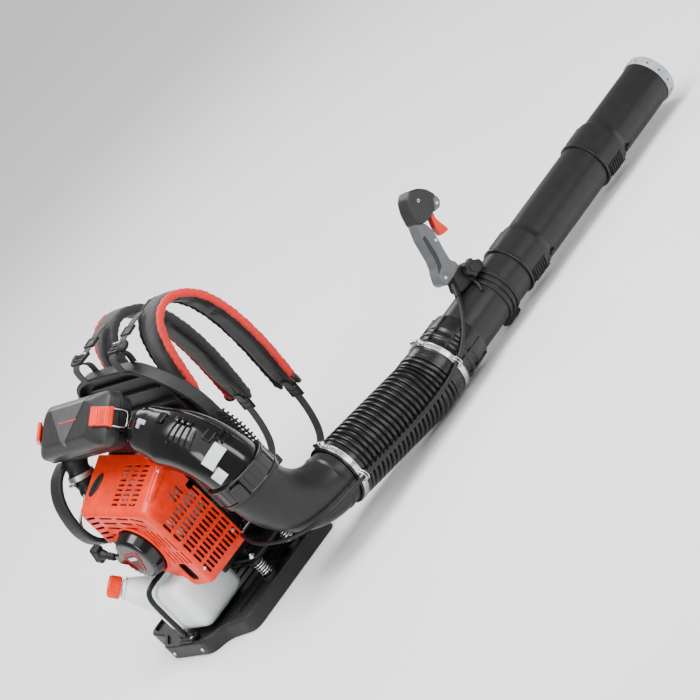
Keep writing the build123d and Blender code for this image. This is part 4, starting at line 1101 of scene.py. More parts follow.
# ---- air cleaner ----
def cleaner_loop(half_x, half_y, z, corner):
    outline = softened([(half_x, -half_y), (half_x, half_y), (-half_x, half_y), (-half_x, -half_y)], corner,
                       8)
    return [(x, y, z) for x, y in outline]


def hood_mesh():
    rows = [(131.2, 49.4, -8.6, 24), (131.9, 50, -7.6, 24), (131.3, 49.8, 5, 25), (130.2, 49.3, 10, 26),
            (127.6, 47.9, 13.6, 27), (120, 44.8, 17.6, 27), (108, 39.6, 23.4, 26), (98, 35.4, 28.2, 25),
            (94, 33.4, 30.0, 24), (89.5, 31.2, 30.9, 23), (84, 28.6, 31, 22)]
    return skin([cleaner_loop(*row) for row in rows], sharp=60)


def on_hood(hood, x, y, lift=0.0):
    """Point on the hood under (x, y) in the cleaner's own frame."""
    hit, place, normal, _ = hood.ray_cast(Vector((x, y, 90)) * MM, Vector((0, 0, -1)))
    return (place + normal * lift * MM) / MM if hit else None


def hood_panel(hood, width, low, high, lift, rows=40, columns=24):
    """Thin plate that follows the hood between two Y values; the width depends on Y."""
    grid = []
    for j in range(rows + 1):
        y = low + (high - low) * j / rows
        half = width(y)
        edge = [on_hood(hood, -half + 2 * half * i / columns, y, lift) for i in range(columns + 1)]
        under = [on_hood(hood, -half + 2 * half * i / columns, y, -0.6) for i in range(columns + 1)]
        grid.append(edge + under[::-1])
    return skin(grid, sharp=50)


def build_latch(sign, name, body):
    """Stepped lever on its barrel, with a wire bail that hooks under the case."""
    x, z = LATCH_PIVOT
    outline = [(101, 28.8), (117, 20.6), (130.5, 13.6), (133, 8), (138.4, 8), (138.2, 14), (133.6, 19.4),
               (120, 26), (118.5, 29.2), (105, 35.6), (101, 33)]
    lever = prism(softened(outline, 1.6, 3), "y", -18, 16, 1.4, 3)
    ridges = [rod((x0, -15, z0), (x0, 13, z0), 1.2, None, 12)
              for x0, z0 in ((123, 24.6), (127, 22.6), (131, 20.6))]
    barrel = rod((x, -19, z), (x, 17, z), 3.6)
    bail = [(x, -16, z), (138.6, -16.5, 0), (139.2, -16, -16), (138.4, -13, -21), (138.2, 0, -21.6),
            (138.4, 11, -21), (139.2, 14, -16), (138.6, 14.5, 0), (x, 14, z)]
    parts = (joined([lever, barrel] + ridges), tube(smooth_line(bail, 6), 1.3, 12))
    for obj, suffix, slot, finish in zip(parts, ("lever", "bail"), ("orange_plastic", "steel"), (None, None)):
        if sign < 0:
            obj.data.transform(Matrix.Scale(-1, 4, (1, 0, 0)))
            obj.data.flip_normals()
        moved(obj, CLEANER)
        piece(obj, f"{name}_{suffix}", body, slot, [name] if suffix == "lever" else (), finish=finish)


def build_air_cleaner():
    hood = hood_mesh()
    panel = hood_panel(hood, lambda y: 3 + 74 * ((y + 40) / 84) ** 1.05, -40, 43, 0.9)
    line = hood_panel(hood, lambda y: 34, 1.4, 3.2, 1.35, 2)
    moved(line, Matrix.Translation((9, 0, 0)))
    hood_skin = joined([hood])
    pieces = [(hood_skin, "cleaner_hood", "cleaner_grey", None, ["air_cleaner_cover"]),
              (panel, "cleaner_panel", "cleaner_grey", "panel_grey", ()),
              (line, "cleaner_line", "orange_plastic", None, ())]
    tub_rows = [(112, 39, -38, 18), (117, 43, -37, 20), (120.5, 45.4, -34, 21), (127, 48.6, -12, 24),
                (128, 49, -11, 24), (133, 50.6, -11, 25), (133.4, 51, -10, 25), (133.2, 50.9, -8.9, 25)]
    case = skin([cleaner_loop(*row) for row in tub_rows], sharp=50)
    pieces.append((case, "cleaner_case", "cleaner_grey", None, ["air_cleaner_case"]))
    for obj, name, slot, finish, stands in pieces:
        piece(moved(obj, CLEANER), name, "machine", slot, stands, finish=finish)
    pockets = []
    for sign in (1, -1):
        plate = bar((127 * sign, -19, -24), (134.6 * sign, 17, -9), 1.2)
        frame_bars = [bar((127 * sign, y, -25), (137 * sign, y + 2.4, -4), 0.9) for y in (-21.4, 17)]
        pockets += [plate] + frame_bars
    for obj in pockets:
        moved(obj, CLEANER)
    piece(joined(pockets), "latch_pockets", "machine", "dark_steel")
    build_latch(1, "latch_right", "latch_right")
    build_latch(-1, "latch_left", "latch_left")


# ---- starter and tank ----
ROPE_EXIT = Vector((-21, -86, 214))
ROPE_DIR = Vector((-0.90, -0.06, 0.43)).normalized()
CAP = Vector((-70, -114, 176))
CAP_DIR = Vector((-0.42, -0.45, 0.79)).normalized()


def build_starter():
    profile = [(0, -92.6), (36, -92.4), (42, -91), (45.5, -88), (49, -76), (50, -72), (50, -67.5),
               (47, -67.5), (43, -86), (0, -89.4)]
    dish = turned(softened(profile, 2.2, 4), *CRANK_AXIS, 96, sharp=50)
    spout = prism(softened([(-26, 206), (-2, 198), (8, 226), (-21, 226)], 5, 4), "y", -92, -74, 3, 4)
    carved(spout, rod((CRANK_X, -60, CRANK_Z), (CRANK_X, -87, CRANK_Z), 47, 41))
    vents = []
    for i in range(12):
        a = radians(200 + 14 * i)
        out = Vector((cos(a), 0, sin(a)))
        middle = Vector((CRANK_X, -90.2, CRANK_Z)) + out * 38.5
        vents.append(rod(middle - out * 4.5, middle + out * 5, 1.5, None, 12))
    piece(joined([dish, spout] + vents), "recoil_shell", "machine", "gloss_black", ["recoil_housing"])

    def badge(size, low, high, round_by):
        corners = [(CRANK_X + size * cos(radians(d)), CRANK_Z + size * sin(radians(d)))
                   for d in (150, 30, -90)]
        return prism(softened(corners, size * 0.36, 6), "y", low, high, round_by)

    rim = carved(badge(33, -94.2, -90, 0.5), badge(30.6, -96, -80, 0))
    piece(badge(30.4, -93.8, -90, 0.5), "recoil_badge", "machine", "dark_steel")
    piece(rim, "recoil_badge_rim", "machine", "orange_plastic", finish="piping_red", crisp=False)
    plate = prism(softened([(22, 209), (48, 209), (48, 216), (22, 216)], 1.5, 3), "y", -94.3, -93, 0.3)
    piece(plate, "recoil_badge_plate", "machine", "gloss_black", finish="blank_plate")
    foot = ROPE_EXIT + ROPE_DIR * 12
    stem = turned(softened([(2.6, 0), (6.5, 0), (7.2, 6), (6.2, 9), (7.6, 13), (6.4, 17), (8.4, 24), (10, 31),
                            (0, 31), (0, 17), (2.6, 16.5)], 1, 3), foot, ROPE_DIR, 40)
    across = ROPE_DIR.cross(Y_AXIS).normalized()
    deep = across.cross(ROPE_DIR)
    head = rounded(bar((-17, -10, -10), (17, 10, 10), 5, 4), 0)
    set_on(head, foot + ROPE_DIR * 40, across, deep, ROPE_DIR)
    ribs = []
    for t in (-10, -5, 0, 5, 10):
        loop = [foot + ROPE_DIR * (40 + 10.2 * cos(a)) + deep * 10.2 * sin(a) + across * t
                for a in [pi * k / 12 - pi / 2 for k in range(13)]]
        ribs.append(tube(loop, 0.9, 8))
    piece(joined([stem, head] + ribs), "pull_grip", "starter_grip", "rubber", ["starter_grip"])
    line = [ROPE_EXIT - ROPE_DIR * 8 + ROPE_DIR * 36 * i / 24 for i in range(25)]
    strands = []
    for k in range(3):
        path = []
        for i, p in enumerate(line):
            a = 2 * pi * (k / 3 + i * 0.16)
            path.append(p + (across * cos(a) + deep * sin(a)) * 0.9)
        strands.append(tube(path, 1.15, 8))
    rope = joined(strands)
    piece(rope, "pull_rope", None, "webbing", ["starter_rope"], crisp=False)
    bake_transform(rope)


def build_tank():
    body = bar((-62, -104, 31), (82, 12, 136), 20, 5)
    low, high = CAP - CAP_DIR * 116, CAP - CAP_DIR * 14
    neck = rod(low, high, 46, 18.5, 64)
    shell = fused([body, neck], 3.2, 14)
    subdivided(shell)
    ribs = [turned(softened([(14, -21), (22, -21), (22, -18.5), (14, -18.5)], 0.8, 3), CAP, CAP_DIR, 64)]
    piece(shell, "tank_shell", "machine", "tank_white", ["fuel_tank"], crisp=False)
    piece(joined(ribs), "tank_neck_ring", "machine", "tank_white")
    knurls = []
    side = CAP_DIR.orthogonal().normalized()
    other = CAP_DIR.cross(side)
    for a in round_steps(24):
        out = side * cos(a) + other * sin(a)
        knurls.append(rod(CAP - CAP_DIR * 11 + out * 18.9, CAP + CAP_DIR * 7 + out * 18.9, 1.7, 1.5, 12))
    profile = [(0, 8.4), (10, 8.4), (12, 9.6), (15, 11), (18, 10.6), (19.4, 8), (19.4, -13.4), (17, -13.4),
               (16.8, -3), (0, -3)]
    cap = turned(softened(profile, 1.2, 3), CAP, CAP_DIR, 72)
    grip = bar((-11, -2.2, 8), (11, 2.2, 11.4), 1.2)
    set_on(grip, CAP, side, other, CAP_DIR)
    piece(joined([cap, grip] + knurls), "cap_shell", "fuel_cap", "orange_plastic", ["fuel_cap"])


# ---- frame ----
RIM = [(-BASE_HALF, 34), (-BASE_HALF, 200), (-BASE_HALF, 330), (-176, 392), (-152, 434), (-108, 450),
       (-40, 449), (30, 448), (76, 444), (116, 420), (152, 388), (178, 348), (BASE_HALF + 1, 312),
       (BASE_HALF, 200), (BASE_HALF, 34)]


def rim_line(inset):
    """Outline of the panel: straight sides and a smooth shoulder, drawn in by an inset."""
    line = [Vector((p.x, p.z)) for p in smooth_line([(x, 0, z) for x, z in RIM], 8)]
    found = []
    for i, p in enumerate(line):
        ahead = (line[min(i + 1, len(line) - 1)] - line[max(i - 1, 0)]).normalized()
        found.append((p.x + ahead.y * inset, max(p.y - ahead.x * inset, BASE_H + 0.3 + inset * 0.3)))
    return found


def build_panel():
    y0, y1 = BASE_FRONT - 26, BASE_FRONT
    rim = prism(rim_line(0), "y", y0, y1, 2.6, 3)
    carved(rim, prism(rim_line(8), "y", y0 - 5, y1 + 5, 0))
    web = prism(rim_line(6), "y", y1 - 9, y1 - 3, 0)
    window = softened([(-105, 95), (105, 95), (105, 285), (60, 330), (-60, 330), (-105, 285)], 14, 5)
    carved(web, prism(window, "y", y0, y1 + 5, 0))
    frame_rim = prism(softened([(-112, 88), (112, 88), (112, 289), (63, 338), (-63, 338), (-112, 289)], 16,
                               5), "y", y1 - 14, y1 - 2, 1.2)
    carved(frame_rim, prism(window, "y", y0, y1 + 5, 0))
    ribs = [bar((side * 128 - 4, y0 + 6, 60), (side * 128 + 4, y1 - 8, 380), 1.5) for side in (-1, 1)]
    ribs += [bar((-170, y0 + 8, z), (170, y1 - 8, z + 4), 1.2) for z in (66, 352)]
    ribs += [bar((-120, y0 + 8, z), (100, y1 - 8, z + 4), 1.2) for z in (386, 416)]
    slots = []
    for side in (-1, 1):
        for i in range(7):
            z = 112 + i * 13
            slots.append(slot_cut("y", (side * 150, y1 - 6, z), 26, 6, depth=20))
    carved(web, *slots)
    piece(joined([rim, web, frame_rim] + ribs), "panel_shell", "machine", "frame_plastic", ["back_panel"])
    louvres = []
    for i in range(13):
        z = 104 + i * 17.4
        half = 104 if z < 280 else 104 - (z - 280)
        louvres.append(bar((-half, y1 - 13, z), (half, y1 - 5, z + 3), 1))
    louvres += [bar((x - 2, y1 - 12, 94), (x + 2, y1 - 4, 322), 1) for x in (-52, 0, 52)]
    piece(joined(louvres), "window_grille", "machine", "frame_plastic")


def build_intake_comb():
    """Row of bars that bulges out past the right side of the panel, with bridges between their tips."""
    low, height, count = 190, 116, 13
    parts = [bar((BASE_HALF + 0.5, 142, low), (BASE_HALF + 5, 160, low + height), 1.2)]
    tips = []
    for i in range(count):
        z = low + 4 + i * (height - 8) / (count - 1)
        reach = 14 + 19 * sin(pi * (i + 1.5) / (count + 2))
        tips.append(Vector((BASE_HALF + 3 + reach, 153, z)))
        parts.append(bar((BASE_HALF + 3, 150, z - 1.3), (BASE_HALF + 5 + reach, 157, z + 1.3), 0.8))
        parts.append(bar((BASE_HALF + 1 + reach, 149, z - 1.9), (BASE_HALF + 6 + reach, 158, z + 1.9), 1.1))
    parts.append(tube([p + Vector((-2, 0, 0)) for p in tips], 1.7, 12))
    piece(joined(parts), "intake_comb", "machine", "frame_plastic", ["intake_guard"])


def base_outline(inset):
    right = [(BASE_HALF - inset, BASE_FRONT - inset), (BASE_HALF - inset, BASE_REAR + inset),
             (99 + inset * 0.4, BASE_REAR - 14 + inset), (76 - inset, FOOT_REAR + inset)]
    return softened([(x, y) for x, y in right] + [(-x, y) for x, y in right[::-1]], 20 - inset * 0.8, 5)


def build_base():
    body = prism(base_outline(0), "z", 0, BASE_H, 3.2, 4)
    carved(body, prism(base_outline(8), "z", BASE_H - 6, BASE_H + 20, 0))
    carved(body, prism(base_outline(7), "z", -10, 20, 0))
    ribs = [bar((-2.5, FOOT_REAR + 5, 1), (2.5, BASE_FRONT - 5, 22), 0.6),
            bar((-BASE_HALF + 5, -2.5, 1), (BASE_HALF - 5, 2.5, 22), 0.6)]
    cups = []
    for x, y in SPRING_PLACES:
        cups.append(turned(softened([(0, 23), (15.5, 23), (14.4, 36), (11.8, 36), (11.8, 33.5),
                                     (0, 33.5)], 1, 3), (x, y, 0), (0, 0, 1), 48))
    deck = [bar((-120 + 34 * i, -60, 22.5), (-117 + 34 * i, 130, 27), 0.8) for i in range(8)]
    deck += [bar((-160, 60 + 36 * i, 22.5), (160, 63 + 36 * i, 27), 0.8) for i in range(3)]
    pads = [turned(softened([(0, 0.2), (11, 0.2), (10, 4), (0, 4)], 0.8, 2), (x, y, 0), (0, 0, 1), 32)
            for x, y in ((160, 145), (-160, 145), (60, -115), (-60, -115))]
    piece(joined([body] + ribs + cups + deck + pads), "base_shell", "machine", "frame_plastic",
          ["base_frame"])
    clamp = bar((-16, FOOT_REAR + 4, BASE_H - 5), (34, FOOT_REAR + 26, BASE_H + 5), 2.5, 3)
    saddle = rod((-12, -117, BASE_H + 4), (30, -117, BASE_H + 4), 7, None, 32, 2)
    piece(joined([clamp, saddle]), "hoop_clamp", "machine", "dark_steel")
    bolts = [screw_head((x, FOOT_REAR + 12, BASE_H + 5), (0, 0, 1), 4, 2.4) for x in (-10, 27)]
    bolts += [screw_head((x, FOOT_REAR + 0.4, 14), (0, -1, 0), 4, 2.4) for x in (-52, 52)]
    piece(joined(bolts), "base_screws", "machine", "steel")


def build_mounts():
    """Coil springs with rubber cores between the base and the engine's cradle."""
    coils, cores = [], []
    for x, y in SPRING_PLACES:
        turns, points = 5.2, []
        for i in range(int(turns * 24) + 1):
            a = 2 * pi * i / 24
            points.append(Vector((x + 9.7 * cos(a), y + 9.7 * sin(a), 37.8 + 26.6 * i / (turns * 24))))
        coils.append(tube(points, 1.75, 12))
        cores.append(turned(softened([(0, 34), (6.8, 34), (5.4, 51), (6.8, 67), (0, 67)], 2, 4), (x, y, 0),
                            (0, 0, 1), 32))
    piece(joined(coils), "mount_coils", "machine", "steel", ["mount_springs"])
    piece(joined(cores), "mount_cores", "machine", "rubber")
    plate = prism(softened([(164, 14), (164, 110), (-164, 110), (-164, 14)], 10, 4), "z", 72, 78, 1.4)
    carved(plate, prism(softened([(130, 32), (130, 84), (-130, 84), (-130, 32)], 10, 4), "z", 60, 90, 0))
    cups = [turned(softened([(0, 67.5), (14, 66), (14.6, 72.5), (0, 72.5)], 0.8, 3), (x, y, 0), (0, 0, 1), 48)
            for x, y in SPRING_PLACES]
    arms = [bar((side * 134 - 5, 16, 60), (side * 134 + 5, 108, 74), 2) for side in (-1, 1)]
    arms += [bar((-130, 24, 78), (130, 31, 92), 1.6), bar((100, -20, 84), (110, 40, 96), 2),
             bar((-60, -20, 84), (-50, 40, 96), 2)]
    piece(joined([plate] + cups + arms), "cradle_shell", "machine", "dark_steel", ["engine_cradle"])
    nuts = [turned([(0, 0), (6, 0), (6, 5), (0, 5)], (x, y, 78), (0, 0, 1), 6) for x, y in SPRING_PLACES]
    nuts += [rod((x, y, 77), (x, y, 86), 2.8) for x, y in SPRING_PLACES]
    piece(joined(nuts), "mount_nuts", "machine", "steel")


# ---- harness ----
STRAP_LINE = [(184, 318), (191, 352), (199, 392), (209, 432), (224, 464), (248, 481), (276, 482), (302, 467),
              (326, 438), (340, 396), (347, 340), (346, 268), (338, 190)]


def inflated(obj, voxel, reach, frames_to_run=20, pressure=4.0):
    """Blows a closed shape up like stuffed fabric and keeps each point within a reach of where it began."""
    remesh = obj.modifiers.new("even", "REMESH")
    remesh.mode = "VOXEL"
    remesh.voxel_size = voxel * MM
    baked(obj)
    before = [v.co.copy() for v in obj.data.vertices]
    cloth = obj.modifiers.new("cloth", "CLOTH")
    cloth.settings.use_pressure = True
    cloth.settings.uniform_pressure_force = pressure
    cloth.settings.effector_weights.gravity = 0
    cloth.settings.quality = 6
    cloth.settings.shrink_min = -0.03
    scene = bpy.context.scene
    for number in range(1, frames_to_run + 1):
        scene.frame_set(number)
    baked(obj)
    scene.frame_set(1)
    for vertex, start in zip(obj.data.vertices, before):
        shift = vertex.co - start
        if shift.length > reach * MM:
            vertex.co = start + shift.normalized() * reach * MM
    smooth = obj.modifiers.new("relax", "SMOOTH")
    smooth.factor, smooth.iterations = 0.5, 3
    baked(obj)
    subdivided(obj)
    obj.data.shade_smooth()
    return obj


def strap_width(share):
    return 31 + 6 * sin(pi * min(1, share * 2.2) / 2) - 4 * max(0, (share - 0.8) / 0.2) ** 2


def strap_frames(count):
    """Even places along the strap, each with its tangent."""
    line = [Vector((0, y, z)) for _, y, z in flat_line(STRAP_LINE, 0, 14)]
    reach = [0]
    for a, b in zip(line, line[1:]):
        reach.append(reach[-1] + (b - a).length)
    found = []
    for i in range(count + 1):
        s = reach[-1] * i / count
        k = max(j for j, r in enumerate(reach) if r <= s + 1e-6)
        k = min(k, len(line) - 2)
        t = (s - reach[k]) / (reach[k + 1] - reach[k])
        found.append((line[k].lerp(line[k + 1], t), (line[k + 1] - line[k]).normalized()))
    return found


def strap_pad():
    rings = []
    places = strap_frames(90)
    for i, (place, ahead) in enumerate(places):
        share = i / 90
        outward = X_AXIS.cross(ahead)
        end = min(1, 0.35 + share * 14, 0.30 + (1 - share) * 16)
        half, thick = strap_width(share) * (0.55 + 0.45 * end) - 1.5, 6.2 * end
        pinch = 1 - 0.12 * max(0, cos(2 * pi * share * 9)) ** 6
        ring = []
        for a in round_steps(28):
            x = half * abs(cos(a)) ** 0.7 * (1 if cos(a) > 0 else -1)
            t = thick * pinch * abs(sin(a)) ** 0.8 * (1 if sin(a) > 0 else -1)
            ring.append(place + Vector((STRAP_X + x, 0, 0)) + outward * t)
        rings.append(ring)
    return skin(rings, sharp=80)


def edge_binding(side, low, high, half_width, thick):
    """Tape sewn over one edge of the strap, slightly puckered along its length."""
    rings = []
    places = strap_frames(300)
    for i, (place, ahead) in enumerate(places):
        share = i / 300
        if not low <= share <= high:
            continue
        outward = X_AXIS.cross(ahead)
        fade = min(1, (share - low) * 30 + 0.3, (high - share) * 30 + 0.3)
        pucker = 1 + 0.07 * sin(share * 260) + 0.05 * sin(share * 97 + 1)
        middle = STRAP_X + side * (strap_width(share) - half_width + 2.2)
        ring = []
        for a in round_steps(20):
            x = half_width * cos(a) * (0.4 + 0.6 * fade)
            t = thick * copysign(abs(sin(a)) ** 0.75, sin(a)) * fade * pucker
            ring.append(place + Vector((middle + x, 0, 0)) + outward * t)
        rings.append(ring)
    return skin(rings, sharp=80)


def stitch_line(side, offset, lift, low=0.03, high=0.97, count=120):
    """Row of short stitches beside the binding."""
    stitches = []
    places = strap_frames(count * 2)
    for i in range(int(low * count), int(high * count)):
        (a, ahead), (b, _) = places[2 * i], places[2 * i + 1]
        share = i / count
        x = STRAP_X + side * (strap_width(share) - offset)
        outward = X_AXIS.cross(ahead) * lift
        shift = Vector((x, 0, 0)) + outward
        stitches.append(rod(a + shift, b + shift, 0.55, None, 8, 0.2))
    return joined(stitches)


def both(obj):
    return joined([obj, mirrored(obj)])


def loop_buckle(place, ahead, across, length, width, thick, bar_count):
    """Moulded ladder buckle: a rounded frame with cross bars."""
    place, ahead, across = Vector(place), Vector(ahead).normalized(), Vector(across).normalized()
    half, side = length / 2, width / 2
    parts = [bar((-half, s * side - 2.4, -thick / 2), (half, s * side + 2.4, thick / 2), 1.6, 3)
             for s in (-1, 1)]
    for i in range(bar_count):
        t = -half + 2 + (length - 4) * i / (bar_count - 1)
        parts.append(bar((t - 2, -side, -thick / 2), (t + 2, side, thick / 2), 1.2, 3))
    return [set_on(part, place, ahead, across, ahead.cross(across)) for part in parts]


def build_straps():
    pads = both(inflated(strap_pad(), 4.5, 5.5))
    piece(pads, "strap_pads", "machine", "strap_fabric", ["shoulder_straps"], crisp=False)
    red = both(edge_binding(1, 0.02, 0.985, 4.4, 7.6))
    piece(red, "strap_binding_red", "machine", "strap_fabric", finish="piping_red", crisp=False)
    black = both(edge_binding(-1, 0.0, 1.0, 4.2, 8.2))
    piece(black, "strap_binding_black", "machine", "webbing", crisp=False)
    seams = both(joined([stitch_line(1, 12.5, 7.6), stitch_line(1, 12.5, -7.6), stitch_line(-1, 8, 7.4),
                         stitch_line(-1, 8, -7.4)]))
    piece(seams, "strap_stitching", "machine", "webbing", crisp=False)
    spine = [p + X_AXIS * STRAP_X + X_AXIS.cross(t) * -8.2
             for p, t in strap_frames(90)[4:87]]
    lower = flat_line([(333, 206), (337, 190), (337, 176), (330, 130), (312, 85), (262, 54), (206, 44),
                       (BASE_FRONT + 2, 46)], STRAP_X)
    upper = flat_line([(240, 490), (222, 492), (206, 490), (172, 484), (144, 484), (132, 474),
                       (133, PANEL_TOP - 10)], HANGER_X)
    loop = flat_line([(150, 479), (160, 474), (166, 460), (162, 444)], HANGER_X)
    tapes = [band(spine, (1, 0, 0), 24, 2.0), band(lower, (1, 0, 0), 25, 2.2),
             band(upper, (1, 0, 0), 24, 2.2), band(loop, (1, 0, 0), 22, 2.2)]
    piece(both(joined(tapes)), "harness_webbing", "machine", "webbing", ["strap_webbing"], crisp=False)
    button = softened([(0, -4), (11, -4), (12.5, 0), (11.5, 4), (6, 5.5), (0, 4.6)], 1.3, 3)
    discs = [turned(button, (STRAP_X + 33, 341, 204), (0.55, 0.8, 0.1), 48),
             turned(button, (STRAP_X + 6, 158, 484), (0.2, -0.3, 0.93), 48)]
    lower_buckle = loop_buckle((STRAP_X, 338, 181), (0, 0.1, 1), (1, 0, 0), 26, 34, 6, 3)
    upper_buckle = loop_buckle((HANGER_X, 158, 484), (0, 1, 0), (1, 0, 0), 30, 30, 7, 4)
    root = bar((STRAP_X - 26, 170, 300), (STRAP_X + 26, 186, 322), 4, 4)
    clips = loop_buckle((HANGER_X, 196, 488), (0, 1, 0.1), (1, 0, 0), 22, 30, 6, 2)
    buckles = both(joined(discs + [root] + lower_buckle + upper_buckle + clips))
    piece(buckles, "harness_buckles", "machine", "rubber", ["strap_buckles"])
    pins = both(rod((HANGER_X - 17, 166, 488), (HANGER_X + 17, 166, 488), 2.4))
    piece(pins, "buckle_pins", "machine", "steel")


def back_pad_mesh():
    """Thin pad with sewn channels, ready to be blown up."""
    rings = []
    columns = [(-116 + 232 * i / 58) for i in range(59)]
    outline_low, outline_high = 74, 296
    for x in columns:
        end = min(1, (116 - abs(x)) / 18 + 0.02)
        rise = 9.5 * sqrt(max(0.01, 1 - (1 - end) ** 2))
        inset = 22 * (1 - sqrt(max(0, 1 - (1 - min(1, (116 - abs(x)) / 30)) ** 2)))
        low, high = outline_low + inset, outline_high - inset
        ring = []
        for a in round_steps(60):
            v = copysign(abs(cos(a)) ** 0.35, cos(a))
            t = copysign(abs(sin(a)) ** 0.6, sin(a))
            z = (low + high) / 2 + (high - low) / 2 * v
            channel = 1 - 0.5 * max(0, cos(pi * (z - outline_low) / 37)) ** 14
            ring.append((x, BASE_FRONT + 13 + rise * t * channel, z))
        rings.append(ring)
    return skin(rings, sharp=80)


def build_back_pad():
    pad = inflated(back_pad_mesh(), 4.5, 4.5)
    piece(pad, "lumbar_pad", "machine", "strap_fabric", ["back_pad"], crisp=False)
    outline = softened([(-117, 73), (117, 73), (117, 297), (-117, 297)], 30, 8)
    welt = [Vector((x, BASE_FRONT + 13, z)) for x, z in outline]
    rings = []
    for i, p in enumerate(welt):
        ahead = (welt[(i + 1) % len(welt)] - welt[i - 1]).normalized()
        side = Y_AXIS.cross(ahead)
        rings.append([p + (side * cos(a) + Y_AXIS * sin(a)) * 3.2
                      for a in round_steps(12)])
    piece(skin(rings, closed=True, sharp=80), "lumbar_welt", "machine", "webbing", crisp=False)


# ---- engine ----
def build_engine():
    """Fins, muffler, carburettor and the black shrouds seen through the cover's slots."""
    fins = []
    for z in range(254, 294, 4):
        outline = softened([(CRANK_X - 45, -45), (CRANK_X + 45, -45), (CRANK_X + 45, 33), (CRANK_X - 45, 33)],
                           14, 4)
        fins.append(prism(outline, "z", z, z + 1.8, 0.3, 1))
    barrel = turned(softened([(0, 252.3), (34, 252.3), (34, 294), (26, 299.6), (6, 299.6), (0, 299.6)], 2, 3),
                    (CRANK_X, -4, 0), (0, 0, 1), 64)
    head_bolts = [rod((CRANK_X + x, -4 + y, 292), (CRANK_X + x, -4 + y, 300), 3.4) for x in (-26, 26)
                  for y in (-22, 22)]
    piece(joined(fins + [barrel] + head_bolts), "cylinder_block", "machine", "cast_alu", ["cylinder"])
    box = bar((92, -46, 196), (140, 34, 286), 9, 4)
    seams = [bar((114, -48, 194), (117, 36, 288), 1.2)]
    dents = [bar((139, -36 + 18 * i, 206), (141.6, -26 + 18 * i, 276), 1.2) for i in range(4)]
    neck = bar((CRANK_X + 46.3, -20, 262), (93, 12, 278), 2)
    piece(joined([box, neck] + seams + dents), "muffler_shell", "machine", "steel", ["muffler"],
          finish="cast_alu")
    shroud = prism(softened([(-50, 172), (140, 172), (140, 276), (60, 288), (-50, 304)], 10, 4), "y", -62,
                   -59, 0.8)
    carved(shroud, rod((CRANK_X, -80, CRANK_Z), (CRANK_X, -40, CRANK_Z), 51))
    lower = prism(softened([(60, 112), (144, 112), (144, 190), (60, 190)], 8, 3), "y", -60, -57, 0.8)
    side = bar((141.5, -58, 114), (143.5, 36, 192), 0.6)
    fan_housing = turned(softened([(46, -66), (52, -66), (52, -38), (46, -38)], 1, 2), *CRANK_AXIS, 72)
    piece(joined([shroud, lower, side, fan_housing]), "engine_shroud", "machine", "dark_steel")
    carb = [bar((-66, -24, 252), (-26, 16, 290), 3, 3), bar((-27, -20, 256), (CRANK_X - 46.2, 12, 286), 2),
            rod((-52, -4, 289), (-52, -4, 294), 6), rod((-46, 16, 262), (-46, 19, 262), 9),
            bar((-62, -27, 268), (-30, -23, 286), 1.5)]
    body = carved(joined(carb[:1]), rod((-80, -4, 271), (-20, -4, 271), 11),
                  rod((-40, -25, 262), (-40, -17, 262), 8.6))
    piece(joined([body] + carb[1:]), "carburettor_body", "machine", "cast_alu", ["carburettor"])
    bolts = [screw_head((-58 + 24 * i, -27, 277 - 4 * i), (0, -1, 0), 3.2, 2) for i in range(2)]
    bolts += [screw_head((-62, 12 - 30 * i, 290), (0, 0, 1), 2.6, 2) for i in range(2)]
    piece(joined(bolts), "carburettor_screws", "machine", "steel")


def build_boot():
    route = [(-66.5, -4, 271), (-86, -4, 271), (-101, -2, 292), (-104, 6, 322), (-103, 14, 350),
             (-103, 24, 372)]
    line = smooth_line(route, 12)

    def radius(share):
        return 19.2 + 1.1 * cos(share * 46) + 4.5 * max(0, share - 0.72) / 0.28

    boot = tube(line, radius, 48)
    piece(boot, "boot_skin", "machine", "rubber", ["intake_boot"], crisp=False)
    rings = []
    for share, r in ((0.80, 23.6), (0.13, 21.6)):
        place = line[int(share * (len(line) - 1))]
        ahead = (line[int(share * (len(line) - 1)) + 1] - place).normalized()
        rings.append(turned(softened([(r, -5), (r + 2, -5), (r + 2, 5), (r, 5)], 0.6, 2), place, ahead, 64))
        rings.append(rod(place + Vector((-9, -r - 3.5, 0)), place + Vector((9, -r - 3.5, 0)), 3.4))
    piece(joined(rings), "boot_bands", "machine", "cast_alu", ["boot_clamp"])


def build_left_guard():
    """Curved guard, wide at the top, that runs from the air cleaner down to the starter."""
    line = [Vector((0, y, z)) for _, y, z in flat_line([(10, 376), (-16, 372), (-38, 356), (-54, 334),
                                                        (-64, 304), (-68, 272), (-62, 246), (-44, 226),
                                                        (-20, 214)], 0, 10)]
    rings = []
    for i, (p, t, _, _) in enumerate(frames(line)):
        share = i / (len(line) - 1)
        out = X_AXIS.cross(t).normalized()
        low = -136 + 6 * share
        high = -96 + 18 * share ** 2
        thick = 4.6
        shape = [(low, -thick), (low + 3, -thick - 2), (high - 3, -thick - 2), (high, -thick),
                 (high, thick - 2), (high - 4, thick), (low + 10, thick + 2), (low + 3, thick),
                 (low, thick - 3)]
        rings.append([p + Vector((x, 0, 0)) + out * d for x, d in shape])
    guard = subdivided(skin(rings, sharp=60), 1)
    piece(guard, "guard_band", "machine", "frame_plastic", ["left_guard"], crisp=False)
    arc = [(-96, -8, 322), (-100, -19, 307), (-102, -54, 293), (-101, -66, 272), (-99, -66, 251),
           (-90, -58, 236)]
    piece(tube(smooth_line(arc, 8), 2.6, 16), "guard_rod", "machine", "steel", crisp=False)


